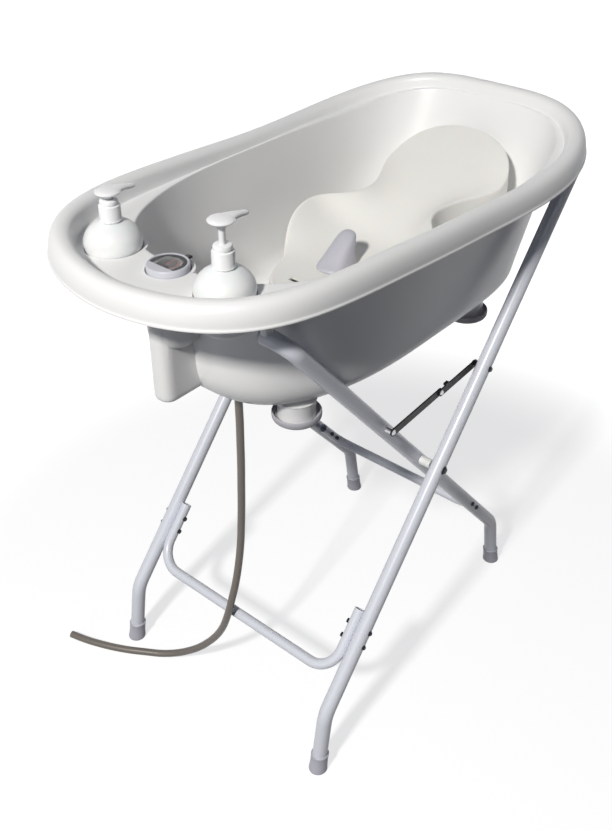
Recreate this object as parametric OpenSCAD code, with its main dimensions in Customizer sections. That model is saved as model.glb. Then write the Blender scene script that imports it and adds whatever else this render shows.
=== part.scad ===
// Baby bath on a folding stand: a moulded tub with a shelf for two pump bottles and a
// thermometer, an infant seat, a drain with its hose, and two pairs of crossed tube legs.
// Millimetres. +X points to the head end, +Z up, and the ground is Z = 0.

/* [Tub] */
// Overall length of the rolled rim
tub_length = 948; // [900:4:1000]
// Width across the rim at mid length
tub_width = 510; // [480:2:540]
// Height of the rim's lower edge above the ground, at mid length
rim_edge_z = 864; // [850:1:880]
// Height of the rolled rim above its lower edge
rim_height = 35; // [30:1:42]
// Width of the rolled rim, from its outer edge to the mouth of the basin
rim_roll = 36; // [34:0.5:40]
// Wall thickness of the moulding
tub_wall = 3; // [2.5:0.1:3.5]
// Depth of the basin floor below the rim's lower edge
basin_depth = 215; // [200:1:230]
// How far each side wall stands in from the rim's edge where it meets the floor
side_draft = 69; // [67:1:80]
// Distance from mid length to the foot end wall of the basin
foot_wall_x = 330; // [322:1:334]
// Distance from mid length to the head end wall at the floor
head_wall_x = 336; // [320:2:350]
// Height of the shelf above the rim's lower edge
shelf_rise = 14; // [10:1:18]
// Depth of the moulded drop leg under the shelf
drop_leg_depth = 176; // [140:1:190]
// Width of the moulded drop leg
drop_leg_width = 40; // [30:1:44]

/* [Tub feet and drain] */
// Outer diameter of a rubber foot ring
foot_ring_d = 76; // [66:1:80]
// Height of a rubber foot ring
foot_ring_h = 14; // [10:1:18]
// Diameter of the moulded boss that a foot ring is pushed on
boss_d = 58; // [48:1:60]
// Distance from the tub's underside to the bottom of its foot rings
foot_drop = 35; // [30:1:40]
// Distance of the drain from the basin's foot wall
drain_inset = 94; // [88:1:100]
// Diameter of the drain hole in the floor
drain_hole_d = 30; // [27:1:32]
// Outer diameter of the drain hose
hose_d = 13; // [12:0.5:14]

/* [Bottles and thermometer] */
// Distance between the two bottle centres
bottle_spacing = 214; // [210:1:218]
// Diameter of a bottle at its widest
bottle_d = 81; // [76:1:82]
// Diameter of the part of a bottle that stands in its cup
bottle_base_d = 73; // [66:1:74]
// Height of a bottle without its pump
bottle_h = 84; // [78:1:90]
// Depth of a cup below the shelf
cup_depth = 48; // [44:1:52]
// Outer diameter of a pump collar
collar_d = 30; // [28:1:32]
// Height of a pump collar
collar_h = 31; // [28:1:34]
// Travel of a pump head
pump_travel = 22; // [18:1:24]
// Distance from the pump's centre to the tip of its spout
spout_reach = 44; // [38:1:48]
// Diameter of the thermometer's case
thermometer_d = 59; // [54:1:62]
// Height of the thermometer's case
thermometer_h = 25; // [22:1:28]

/* [Infant seat] */
// Height of the seat's platform above the basin floor
seat_rise = 94; // [84:1:100]
// Width of the seat across the hips
seat_width = 250; // [230:2:264]
// Thickness of the seat shell
seat_wall = 3.5; // [3:0.1:4.5]
// Height of the pommel above the platform
pommel_h = 50; // [40:1:56]

/* [Stand] */
// Outside diameter of the leg tube
leg_d = 25; // [22:0.5:25.4]
// Wall thickness of the leg tube
leg_wall = 1.5; // [1.2:0.1:2]
// Distance from the rim's outer edge, at mid length, in to the centre of an outer leg
leg_inset = 29; // [27:0.5:33]
// Gap between an outer and an inner leg
leg_gap = 20; // [18:0.5:22]
// Distance from the pivot to a foot, along the ground
foot_reach = 306; // [290:2:320]
// Height of the pivot above the ground
pivot_z = 451; // [440:1:460]
// Height of the bend above a foot
bend_z = 115; // [95:1:130]
// How far the bend stands in from the foot
bend_in = 19; // [14:1:24]
// Outside diameter of the spreader tube
spreader_d = 18; // [16:0.5:19]
// Height of the front spreader above the ground
front_spreader_z = 161; // [150:1:180]
// Height of the rear spreader above the ground
rear_spreader_z = 192; // [180:1:210]
// Diameter of the pivot bolts
pivot_bolt_d = 8; // [6:1:9]
// Height of a stay's lower end above the pivot, on the inner leg
stay_low_rise = 121; // [110:1:130]
// Height of a stay's upper end above the pivot, on the outer leg
stay_high_rise = 138; // [128:1:148]
// Share of a stay's length that lies on the outer leg's side of its knee
stay_split = 0.44; // [0.4:0.01:0.48]
// Width of a stay bar
stay_w = 13; // [10:1:15]
// Thickness of a stay bar
stay_t = 2.5; // [2:0.1:3]

/* [Hidden] */
$fn = 48;

near = -1;
far = 1;
slack = 0.3;

// ---- outlines of the tub ----
around = 64;
foot_power = 1.88;
head_power = 3.5;
rim_flare_2 = 0.387;
rim_flare_3 = -0.36;
rim_slope_1 = -22.5;
rim_slope_2 = 19.2;
rim_slope_3 = 37;
rim_profile = [[0, 0], [-0.6, 0.1], [-1.5, 0.35], [-4, 0.65], [-8, 0.86], [-14, 0.97], [-20, 1],
               [-27, 0.97], [-32, 0.87]];
shelf_z = rim_edge_z + shelf_rise;
basin_z = rim_edge_z - basin_depth;
floor_width = tub_width - 2 * side_draft;
drain_x = foot_wall_x - drain_inset;
shelf_edge_x = foot_wall_x + 9;
upper_head_x = tub_length / 2 - rim_roll - 4;
upper_inset = rim_roll + 5;
foot_fillet = 72;
side_fillet = 48;
head_fillet = 34;
wall_rows = 5;
fillet_rows = 4;

function lobe(a, foot_n, head_n) =
    let (n = cos(a) < 0 ? foot_n : head_n,
         r = pow(pow(abs(cos(a)), n) + pow(abs(sin(a)), n), -1 / n))
    [cos(a) * r, sin(a) * r];
function mix(a, b, k) = a + (b - a) * k;
function unit(v) = v / norm(v);
function left_of(v) = [v[1], -v[0]];

function rim_flare(u) = 1 + rim_flare_2 * u * u + rim_flare_3 * u * u * u;
function rim_z(u) = rim_edge_z + rim_slope_1 * u + rim_slope_2 * u * u + rim_slope_3 * u * u * u;
function rim_u(a) = lobe(a, foot_power, head_power)[0];
function rim_curve(a) =
    let (q = lobe(a, foot_power, head_power))
    [tub_length / 2 * q[0], tub_width / 2 * rim_flare(q[0]) * q[1]];
function rim_out(a) = left_of(unit(rim_curve(a + 0.5) - rim_curve(a - 0.5)));
function rim_point(a, inset, rise) =
    let (p = rim_curve(a) - rim_out(a) * inset)
    [p[0], p[1], rim_z(rim_u(a)) + rise];

// Outline of the basin at shelf height, k = 0, down to the floor, k = 1
function basin_curve(a, k) =
    let (q = lobe(a, mix(2.6, 2.7, k), mix(3.6, 4.5, k)),
         foot = mix(shelf_edge_x, foot_wall_x, k),
         head = mix(upper_head_x, head_wall_x, k),
         half = mix(tub_width / 2 - upper_inset, floor_width / 2, k))
    [(q[0] < 0 ? foot : head) * q[0], half * q[1] * mix(1 + 0.02 * q[0], 1, k)];
function basin_out(a, k) = left_of(unit(basin_curve(a + 0.5, k) - basin_curve(a - 0.5, k)));
function fillet_at(a) =
    mix(side_fillet, cos(a) < 0 ? foot_fillet : head_fillet, pow(cos(a), 2));
// The basin's mouth is level along the shelf and follows the rim round the head end
function mouth_z(a) =
    let (u = rim_u(a))
    u > 0 ? max(shelf_z, rim_z(u) + 0.35 * rim_height) : shelf_z;
function wall_point(a, k, skin) =
    let (p = basin_curve(a, k) + basin_out(a, k) * skin,
         top = mouth_z(a),
         low = basin_z + fillet_at(a))
    [p[0], p[1], mix(top, low, k) - (k == 0 ? skin : 0)];
function fillet_point(a, turn, skin) =
    let (r = fillet_at(a),
         p = basin_curve(a, 1) - basin_out(a, 1) * (r - (r + skin) * cos(turn)))
    [p[0], p[1], basin_z + r - (r + skin) * sin(turn)];

// One meridian of the moulding: over the rim, down the inside, and back along the outside
function shelf_seat(a, skin) =
    let (p = rim_point(a, rim_roll + 2 - skin, 0))
    [p[0], p[1], mouth_z(a) + 2 - skin];
function tub_meridian(a) = concat(
    [for (p = rim_profile) rim_point(a, -p[0], p[1] * rim_height)],
    [rim_point(a, rim_roll, 0.7 * rim_height)],
    [shelf_seat(a, 0)],
    [for (i = [0 : wall_rows]) wall_point(a, i / wall_rows, 0)],
    [for (i = [1 : fillet_rows]) fillet_point(a, 90 * i / fillet_rows, 0)],
    [for (i = [fillet_rows : -1 : 1]) fillet_point(a, 90 * i / fillet_rows, tub_wall)],
    [for (i = [wall_rows : -1 : 0]) wall_point(a, i / wall_rows, tub_wall)],
    [shelf_seat(a, tub_wall)],
    [rim_point(a, rim_roll - tub_wall, 0.66 * rim_height)],
    [rim_point(a, 27, 0.97 * rim_height - tub_wall), rim_point(a, 20, rim_height - tub_wall),
     rim_point(a, 12, 0.9 * rim_height - tub_wall), rim_point(a, 7, 0.6 * rim_height),
     rim_point(a, 4.5, 0.3 * rim_height), rim_point(a, tub_wall, 0)]);

// Closed ring of meridians as one mesh; the caps close its two round ends
module loft_ring(rows) {
    n = len(rows);
    m = len(rows[0]);
    points = [for (r = rows) each r];
    faces = [for (i = [0 : n - 1], j = [0 : m - 1])
        let (i2 = (i + 1) % n, j2 = (j + 1) % m,
             a = i * m + j, b = i2 * m + j, c = i2 * m + j2, d = i * m + j2)
        each [[a, c, b], [a, d, c]]];
    polyhedron(points, faces, convexity = 8);
}

// Sheet of rows by columns, given its upper and lower points, closed at all four edges
module loft_sheet(upper, lower) {
    n = len(upper);
    m = len(upper[0]);
    size = n * m;
    points = concat([for (r = upper) each r], [for (r = lower) each r]);
    top = [for (i = [0 : n - 2], j = [0 : m - 2])
        let (a = i * m + j) each [[a, a + m, a + m + 1], [a, a + m + 1, a + 1]]];
    bottom = [for (f = top) [f[2] + size, f[1] + size, f[0] + size]];
    rim_loop = concat([for (j = [0 : m - 2]) j], [for (i = [0 : n - 2]) i * m + m - 1],
                      [for (j = [m - 1 : -1 : 1]) (n - 1) * m + j], [for (i = [n - 1 : -1 : 1]) i * m]);
    count = len(rim_loop);
    sides = [for (k = [0 : count - 1])
        let (a = rim_loop[k], b = rim_loop[(k + 1) % count])
        each [[a, b, b + size], [a, b + size, a + size]]];
    polyhedron(points, concat(top, bottom, sides), convexity = 6);
}

// ---- placing round stock ----
// Puts the children's +Z along the line from p to q, starting at p
module along(p, q) {
    d = q - p;
    translate(p) rotate([0, acos(d[2] / norm(d)), atan2(d[1], d[0])]) children();
}
module rod(p, q, d) {
    along(p, q) cylinder(d = d, h = norm(q - p));
}
// Stations of a bent pipe, each a point and a direction: an arc from p along u that turns towards v
function arc_stations(p, u, v, r, turn, steps) =
    [for (i = [0 : steps]) let (a = turn * i / steps)
        [p + v * r + r * (sin(a) * u - cos(a) * v), cos(a) * u + sin(a) * v]];
// Side vector at each station, carried along so that the pipe doesn't twist
function carried(stations, x, i = 0) =
    i == len(stations) ? []
    : let (t = stations[i][1], side = unit(x - t * (x * t))) concat([side], carried(stations, side, i + 1));
module pipe(stations, x, r, bore, sides = 24) {
    n = len(stations);
    ways = carried(stations, x);
    function ring(i, r) =
        [for (k = [0 : sides - 1]) let (a = 360 * k / sides)
            stations[i][0] + r * (cos(a) * ways[i] + sin(a) * cross(stations[i][1], ways[i]))];
    points = concat([for (i = [0 : n - 1]) each ring(i, r)], [for (i = [0 : n - 1]) each ring(i, bore)]);
    inside = n * sides;
    last = (n - 1) * sides;
    skin = [for (i = [0 : n - 2], k = [0 : sides - 1])
        let (a = i * sides + k, b = i * sides + (k + 1) % sides)
        each [[a, a + sides, b + sides], [a, b + sides, b]]];
    hollow = [for (f = skin) [f[2] + inside, f[1] + inside, f[0] + inside]];
    ends = [for (k = [0 : sides - 1])
        let (a = k, b = (k + 1) % sides)
        each [[a, b, b + inside], [a, b + inside, a + inside],
              [last + b, last + a, last + a + inside], [last + b, last + a + inside, last + b + inside]]];
    polyhedron(points, concat(skin, hollow, ends), convexity = 6);
}
// Round bar along y
module y_rod(x, z, y0, y1, d) {
    translate([x, y0, z]) rotate([-90, 0, 0]) cylinder(d = d, h = y1 - y0);
}

// ---- the stand's lines ----
pivot_x = -12;
leg_bend_r = 60;
outer_y = tub_width / 2 - leg_inset;
inner_y = outer_y - leg_gap - leg_d;
bend_reach = foot_reach - bend_in;
leg_slope = (pivot_z - bend_z) / bend_reach;
foot_cap_h = 34;
foot_cap_wall = 2.5;
foot_pad = 4;
// dir is -1 for the legs that stand at the foot end and 1 for those at the head end
function leg_x(z, dir) = pivot_x - dir * (z - pivot_z) / leg_slope;
function foot_point(dir, y) = [pivot_x + dir * foot_reach, y, 0];
function bend_point(dir, y) = [pivot_x + dir * bend_reach, y, bend_z];
function leg_point(z, dir, y) = [leg_x(z, dir), y, z];
function leg_up(dir) = unit([-dir / leg_slope, 0, 1]);
function shank_up(dir) = unit([-dir * bend_in, 0, bend_z]);
shank_turn = acos(leg_up(1) * shank_up(1));
bend_trim = leg_bend_r * tan(shank_turn / 2);
function shank_start(dir, y) = foot_point(dir, y) + shank_up(dir) * (foot_pad / shank_up(dir)[2]);

outer_top_u = (leg_x(rim_edge_z, -1) + 12) / (tub_length / 2);
outer_top_z = rim_z(outer_top_u) - 6;
stub_r = 36;
stub_drop = 61;
stub_z = shelf_z - stub_drop;
stub_start_z = stub_z - stub_r * leg_up(1)[2];
stub_end = leg_point(stub_start_z, 1, 0) + leg_up(1) * stub_r;
plug_len = 6;
stub_inner_y = inner_y - stub_r;

function leg_stations(dir, y) =
    let (up = shank_up(dir),
         v = unit(cross(cross(up, leg_up(dir)), up)))
    concat([[shank_start(dir, y), up]],
           arc_stations(bend_point(dir, y) - up * bend_trim, up, v, leg_bend_r, shank_turn, 4));
function stub_stations(side) =
    arc_stations(leg_point(stub_start_z, 1, side * inner_y), leg_up(1), [0, -side, 0], stub_r, 90, 6);

// ---- holes across the legs ----
stay_low = leg_point(pivot_z + stay_low_rise, 1, 0);
stay_high = leg_point(pivot_z + stay_high_rise, -1, 0);
stay_bolt_d = 5;
bolt_d = 5;
bolt_pitch = 25;
front_bolt_rise = 50;
rear_bolt_rise = 22;
function bolt_pair(z) = [z, z + bolt_pitch * leg_up(1)[2]];
front_bolt_z = bolt_pair(front_spreader_z + front_bolt_rise);
rear_bolt_z = bolt_pair(rear_spreader_z + rear_bolt_rise);

module outer_leg(side) {
    y = side * outer_y;
    color([0.86, 0.86, 0.9]) difference() {
        pipe(concat(leg_stations(-1, y), [[leg_point(outer_top_z, -1, y), leg_up(-1)]]), [0, 1, 0],
             leg_d / 2, leg_d / 2 - leg_wall);
        y_rod(pivot_x, pivot_z, y - leg_d, y + leg_d, pivot_bolt_d + 2 * slack);
        y_rod(stay_high[0], stay_high[2], y - leg_d, y + leg_d, stay_bolt_d + 2 * slack);
        for (z = front_bolt_z) y_rod(leg_x(z, -1), z, y - leg_d, y + leg_d, bolt_d + 2 * slack);
    }
}
module inner_leg(side) {
    y = side * inner_y;
    color([0.8, 0.81, 0.85]) difference() {
        pipe(concat(leg_stations(1, y), stub_stations(side)), [0, 1, 0], leg_d / 2, leg_d / 2 - leg_wall);
        y_rod(pivot_x, pivot_z, y - leg_d, y + leg_d, pivot_bolt_d + 2 * slack);
        for (z = rear_bolt_z) y_rod(leg_x(z, 1), z, y - leg_d, y + leg_d, bolt_d + 2 * slack);
    }
}

// ---- spreaders: a U of tube bolted inside the legs ----
spreader_wall = 1.5;
front_bend_r = 45;
rear_bend_r = 26;
spreader_arm = 26;
function arm_y(leg_y) = leg_y - leg_d / 2 - spreader_d / 2 - 0.1;
function spreader_stations(dir, z, leg_y, top, r) =
    let (y = arm_y(leg_y), up = leg_up(dir), across = [0, 1, 0],
         far_bend = [leg_x(z, dir), y - r, z],
         near_bend = leg_point(z, dir, -y) + up * r)
    concat([[leg_point(top, dir, -y), -up]], arc_stations(near_bend, -up, across, r, 90, 6),
           arc_stations(far_bend, across, up, r, 90, 6), [[leg_point(top, dir, y), up]]);
module spreader(dir, z, leg_y, bolts, r) {
    top = bolts[1] + spreader_arm * leg_up(dir)[2];
    difference() {
        pipe(spreader_stations(dir, z, leg_y, top, r), [1, 0, 0], spreader_d / 2,
             spreader_d / 2 - spreader_wall, 20);
        for (b = bolts) y_rod(leg_x(b, dir), b, -leg_y, leg_y, bolt_d + 2 * slack);
    }
}
module front_spreader() {
    color([0.86, 0.86, 0.9]) spreader(-1, front_spreader_z, outer_y, front_bolt_z, front_bend_r);
}
module rear_spreader() {
    color([0.8, 0.81, 0.85]) spreader(1, rear_spreader_z, inner_y, rear_bolt_z, rear_bend_r);
}

// ---- bolts ----
head_h = 3;
// Domed head, shank and nut across one leg and one spreader arm
module leg_bolt(x, z, leg_y, side) {
    arm = arm_y(leg_y);
    outer = leg_y + leg_d / 2 + 0.1;
    inner = arm - spreader_d / 2 - 0.1;
    translate([x, 0, z]) rotate([side * -90, 0, 0]) {
        translate([0, 0, inner - head_h]) cylinder(d = bolt_d * 1.8, h = head_h, $fn = 6);
        translate([0, 0, inner - head_h]) cylinder(d = bolt_d, h = outer - inner + head_h + 1);
        translate([0, 0, outer]) cylinder(d1 = bolt_d * 2, d2 = bolt_d, h = head_h);
    }
}
module front_spreader_bolts() {
    color([0.35, 0.36, 0.38]) for (s = [near, far], z = front_bolt_z) leg_bolt(leg_x(z, -1), z, outer_y, s);
}
module rear_spreader_bolts() {
    color([0.2, 0.2, 0.22]) for (s = [near, far], z = rear_bolt_z) leg_bolt(leg_x(z, 1), z, inner_y, s);
}
// Spacer tube between an outer and an inner leg, with a collar at each face
module pivot_spacers() {
    color([0.93, 0.93, 0.93]) for (s = [near, far])
        translate([pivot_x, 0, pivot_z]) rotate([s * -90, 0, 0]) translate([0, 0, inner_y + leg_d / 2 + 0.1])
            difference() {
                cylinder(d = pivot_bolt_d + 8, h = leg_gap - 0.2);
                translate([0, 0, -1]) cylinder(d = pivot_bolt_d + 2 * slack, h = leg_gap + 2);
            }
}
module pivot_bolts() {
    low = inner_y - leg_d / 2 - 0.1;
    high = outer_y + leg_d / 2 + 0.1;
    color([0.18, 0.18, 0.2]) for (s = [near, far])
        translate([pivot_x, 0, pivot_z]) rotate([s * -90, 0, 0]) {
            translate([0, 0, low - 7]) cylinder(d = pivot_bolt_d * 1.8, h = 7, $fn = 6);
            translate([0, 0, low - 7]) cylinder(d = pivot_bolt_d, h = high - low + 8);
            translate([0, 0, high]) cylinder(d1 = pivot_bolt_d * 1.9, d2 = pivot_bolt_d * 1.1, h = 3.5);
        }
}

// ---- caps, plugs and saddles at the tube ends ----
module foot_cap(dir, side_y) {
    foot = foot_point(dir, side_y);
    up = shank_up(dir);
    difference() {
        union() {
            translate(foot) cylinder(d = leg_d + 2 * foot_cap_wall + 2, h = foot_pad / 2);
            translate(foot)
                cylinder(d1 = leg_d + 2 * foot_cap_wall + 2, d2 = leg_d + 2 * foot_cap_wall, h = 8);
            rod(foot + up * 5, foot + up * foot_cap_h, leg_d + 2 * foot_cap_wall);
            along(foot + up * 26, foot + up * 29) rotate_extrude()
                translate([leg_d / 2 + foot_cap_wall, 0]) circle(d = 1.6, $fn = 16);
        }
        rod(shank_start(dir, side_y), foot + up * (foot_cap_h + 2), leg_d + 0.1);
    }
}
module outer_foot_caps() {
    color([0.84, 0.84, 0.87]) for (s = [near, far]) foot_cap(-1, s * outer_y);
}
module inner_foot_caps() {
    color([0.78, 0.79, 0.83]) for (s = [near, far]) foot_cap(1, s * inner_y);
}
// Cap on the open top of an outer leg; its peg carries the hollow of the rim
saddle_plug = 22;
saddle_peg_d = 9;
saddle_peg_in = 3;
module rim_saddles() {
    up = leg_up(-1);
    color([0.9, 0.9, 0.92]) for (s = [near, far]) {
        top = leg_point(outer_top_z, -1, s * outer_y);
        rod(top - up * saddle_plug, top, leg_d - 2 * leg_wall - 0.3);
        rod(top, top + up * 2, leg_d);
        along(top + up * 2, top + up * 8) cylinder(d1 = leg_d, d2 = leg_d - 10, h = 6);
        translate([top[0] + saddle_peg_in, s * (outer_y - saddle_peg_in), top[2] + 4])
            cylinder(d = saddle_peg_d, h = saddle_top_z(top[0] - saddle_peg_in) - top[2] - 4);
    }
}
function saddle_top_z(x) = rim_z(x / (tub_length / 2)) + 0.91 * rim_height - tub_wall - slack;
// Plug in the open end of an inner leg
module inner_leg_plugs() {
    color([0.9, 0.9, 0.92]) for (s = [near, far])
        translate([stub_end[0], s * stub_inner_y, stub_end[2]]) rotate([s * 90, 0, 0]) {
            translate([0, 0, -3]) cylinder(d = leg_d - 2 * leg_wall - 1, h = 4);
            cylinder(d = leg_d, h = 3);
            translate([0, 0, 3]) cylinder(d1 = leg_d, d2 = leg_d - 6, h = plug_len - 3);
        }
}

// ---- stays: two bars a side, joined at a knee ----
stay_span = norm(stay_high - stay_low);
stay_tilt = atan2(stay_high[2] - stay_low[2], stay_high[0] - stay_low[0]);
knee = stay_span * (1 - stay_split);
stay_gap = 4;
bar_gap = 0.2;
stay_plane = outer_y - leg_d / 2 - stay_gap;
lower_plane = stay_plane - stay_t - bar_gap;
// Puts the children's +X along the stay and their +Z outwards, y out from the centre plane
module on_stay(side, y) {
    translate([stay_low[0], side * y, stay_low[2]]) rotate([0, -stay_tilt, 0])
        rotate([side * -90, 0, 0]) children();
}
module bar(x0, x1, hole0, hole1) {
    translate([0, 0, -stay_t / 2]) difference() {
        union() {
            for (x = [x0, x1]) translate([x, 0, 0]) cylinder(d = stay_w, h = stay_t);
            translate([x0, -stay_w / 2, 0]) cube([x1 - x0, stay_w, stay_t]);
        }
        translate([x0, 0, -1]) cylinder(d = hole0, h = stay_t + 2);
        translate([x1, 0, -1]) cylinder(d = hole1, h = stay_t + 2);
    }
}
running = 0.1;
// The upper bar turns on the outer leg and carries the catch that stops the knee
module stay_upper(side) {
    color([0.2, 0.22, 0.24]) on_stay(side, stay_plane) {
        bar(knee, stay_span, stay_bolt_d + running, stay_bolt_d + running);
        translate([knee + 12, side > 0 ? -stay_w / 2 - 3 : stay_w / 2 - 1, -stay_t / 2 - 3])
            cube([9, 4, stay_t + 3]);
    }
}
module stay_lower(side) {
    color([0.16, 0.17, 0.18]) on_stay(side, lower_plane)
        bar(0, knee, 2 * slack + stay_bolt_d, stay_bolt_d + running);
}
// Bolt through an outer leg that the upper bar turns on
module stay_bolts() {
    reach = outer_y + leg_d / 2 + 0.1 - stay_plane;
    color([0.18, 0.18, 0.2]) for (s = [near, far]) on_stay(s, stay_plane) translate([stay_span, 0, 0]) {
        translate([0, 0, -stay_t / 2 - 2.6]) cylinder(d = 9, h = 2.5);
        translate([0, 0, -stay_t / 2 - 1]) cylinder(d = stay_bolt_d, h = reach + stay_t / 2 + 2);
        translate([0, 0, stay_t / 2 + 0.1]) cylinder(d = 8, h = 2.4);
        translate([0, 0, reach]) cylinder(d1 = 11, d2 = 7, h = 3);
    }
}
module knee_rivet(side) {
    color([0.7, 0.71, 0.73]) on_stay(side, lower_plane) translate([knee, 0, 0]) {
        translate([0, 0, -stay_t / 2 - 1.9]) cylinder(d = 9, h = 1.8);
        translate([0, 0, -stay_t / 2 - 1]) cylinder(d = stay_bolt_d, h = 2 * stay_t + 3);
        translate([0, 0, 1.5 * stay_t + 0.3]) cylinder(d1 = 9, d2 = 6, h = 1.8);
    }
}
// Pin at the lower bar's far end; it ends just short of the inner leg that it belongs to
module stay_pin(side) {
    low = inner_y + leg_d / 2 + slack - lower_plane;
    color([0.75, 0.76, 0.78]) on_stay(side, lower_plane) {
        translate([0, 0, low]) cylinder(d = stay_bolt_d, h = stay_t / 2 - low + 1);
        translate([0, 0, low]) cylinder(d = 9, h = -stay_t / 2 - low);
        translate([0, 0, stay_t / 2]) cylinder(d1 = 9.5, d2 = 5, h = 2);
    }
}

// ---- tub ----
bottle_inset = 24;
bottle_x = -foot_wall_x - bottle_inset;
bottle_y = bottle_spacing / 2;
cup_clear = 1;
cup_wall = 2.5;
cup_bore = bottle_base_d + 2 * cup_clear;
cup_mouth = bottle_d + 3;
thermometer_inset = 22;
thermometer_x = -foot_wall_x - thermometer_inset;
pocket_depth = 14;
pocket_boss_len = 110;
pocket_boss_wall = 5.5;
pocket_bore = thermometer_d + 1;
foot_places = [[-219, 104], [198, 128]];
boss_z = basin_z - tub_wall - foot_drop + 4 + slack;
drop_leg_reach = 66;
drop_leg_front = foot_wall_x + drop_leg_reach;
drop_leg_tail = 14;
rest_w = 22;
rest_d = 14;
rest_y = stub_inner_y + 10;

module cup_outside(y) {
    translate([bottle_x, y, shelf_z - cup_depth]) {
        cylinder(d1 = cup_bore, d2 = cup_bore + 2 * cup_wall, h = 6);
        translate([0, 0, 6]) cylinder(d = cup_bore + 2 * cup_wall, h = cup_depth - 8);
        translate([0, 0, cup_depth - 14]) cylinder(d1 = cup_bore + 2 * cup_wall, d2 = cup_mouth + 6, h = 11);
        translate([0, 0, cup_depth - 3]) cylinder(d = cup_mouth + 8, h = 3);
    }
}
module cup_inside(y) {
    translate([bottle_x, y, shelf_z - cup_depth + cup_wall]) {
        cylinder(d = cup_bore, h = cup_depth + 10);
        translate([0, 0, cup_depth - cup_wall - 8]) cylinder(d1 = cup_bore, d2 = cup_mouth, h = 7);
        translate([0, 0, cup_depth - cup_wall - 1]) cylinder(d = cup_mouth, h = 10);
    }
}
// Hollow leg that drops from the shelf at the middle of the foot end, rounded at its front
module drop_leg(skin) {
    r = drop_leg_width / 2 - skin;
    translate([-drop_leg_front, 0, shelf_z - drop_leg_depth - drop_leg_tail]) {
        translate([drop_leg_width / 2, 0, 0]) cylinder(r = r, h = drop_leg_depth + 12);
        translate([drop_leg_width / 2, -r, 0])
            cube([drop_leg_reach - drop_leg_width / 2 + 4 - 2 * skin, 2 * r, drop_leg_depth + 12]);
    }
}
module tub() {
    color([0.95, 0.95, 0.94]) difference() {
        union() {
            loft_ring([for (i = [0 : around - 1]) tub_meridian(360 * i / around)]);
            translate([0, 0, basin_z - tub_wall]) linear_extrude(tub_wall) polygon(
                [for (i = [0 : around - 1]) let (a = 360 * i / around)
                    basin_curve(a, 1) - basin_out(a, 1) * (fillet_at(a) - 1)]);
            for (s = [near, far]) cup_outside(s * bottle_y);
            drop_leg(0);
            translate([thermometer_x, 0, shelf_z - pocket_boss_len])
                cylinder(d = pocket_bore + 2 * pocket_boss_wall, h = pocket_boss_len - 2);
            // bosses for the foot rings, and rests on the inner legs' stubs
            for (p = foot_places, s = [near, far]) translate([p[0], s * p[1], boss_z])
                cylinder(d = boss_d, h = basin_z - boss_z - 1);
            for (s = [near, far])
                translate([stub_end[0] - rest_w / 2, s * rest_y - rest_d / 2, stub_z])
                    cube([rest_w, rest_d, shelf_z - stub_z - 1]);
        }
        for (s = [near, far]) cup_inside(s * bottle_y);
        translate([thermometer_x, 0, shelf_z - pocket_depth])
            cylinder(d = pocket_bore, h = pocket_depth + 10);
        intersection() {
            drop_leg(tub_wall);
            translate([-tub_length / 2, -drop_leg_width, 0])
                cube([tub_length / 2, 2 * drop_leg_width, shelf_z - pocket_boss_len - tub_wall]);
        }
        translate([thermometer_x, 0, shelf_z - pocket_boss_len - tub_wall])
            cylinder(d = pocket_bore - 8, h = pocket_boss_len - pocket_depth - 2 * tub_wall);
        for (p = foot_places, s = [near, far]) translate([p[0], s * p[1], boss_z - 1])
            cylinder(d = boss_d - 6, h = basin_z - boss_z - 1);
        translate([-drain_x, 0, basin_z - 20]) cylinder(d = drain_hole_d, h = 40);
        for (s = [near, far])
            y_rod(stub_end[0], stub_z, s * rest_y - rest_d, s * rest_y + rest_d, leg_d + 2 * slack);
    }
}
// Rubber ring with a dished floor, pushed on each moulded boss
module tub_foot_rings() {
    z = basin_z - tub_wall - foot_drop;
    color([0.62, 0.63, 0.66]) for (p = foot_places, s = [near, far]) translate([p[0], s * p[1], z])
        difference() {
            union() {
                cylinder(d1 = foot_ring_d - 5, d2 = foot_ring_d, h = 3);
                translate([0, 0, 3]) cylinder(d = foot_ring_d, h = foot_ring_h - 3);
            }
            translate([0, 0, 4]) cylinder(d = boss_d + 0.2, h = foot_ring_h);
            translate([0, 0, foot_ring_h - 6]) cylinder(d = foot_ring_d - 6, h = 8);
            translate([0, 0, -1]) cylinder(d1 = foot_ring_d - 22, d2 = foot_ring_d - 30, h = 3);
        }
}

// ---- drain ----
flange_d = drain_hole_d + 14;
tail_d = drain_hole_d - 0.6;
tail_bore = drain_hole_d - 8;
tail_len = 20;
barb_d = hose_d - 4;
barb_top = basin_z - tub_wall - tail_len;
module drain_body() {
    color([0.75, 0.76, 0.78]) translate([-drain_x, 0, 0]) difference() {
        union() {
            translate([0, 0, basin_z + 1.6]) cylinder(d1 = flange_d, d2 = flange_d - 3, h = 2);
            translate([0, 0, barb_top]) cylinder(d = tail_d, h = basin_z + 2 - barb_top);
            translate([0, 0, barb_top - 8]) cylinder(d1 = barb_d + 4, d2 = tail_d, h = 8);
            translate([0, 0, barb_top - 26]) cylinder(d = barb_d, h = 20);
            for (i = [0 : 2]) translate([0, 0, barb_top - 12 - 5 * i])
                cylinder(d1 = barb_d - 0.6, d2 = barb_d, h = 2);
        }
        translate([0, 0, barb_top + 3]) cylinder(d = tail_bore, h = tail_len + 20);
        translate([0, 0, barb_top - 30]) cylinder(d = barb_d - 3, h = 60);
    }
}
module drain_washer() {
    color([0.3, 0.3, 0.32]) translate([-drain_x, 0, basin_z]) difference() {
        cylinder(d = flange_d - 2, h = 1.6);
        translate([0, 0, -1]) cylinder(d = tail_d + 0.4, h = 4);
    }
}
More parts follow.
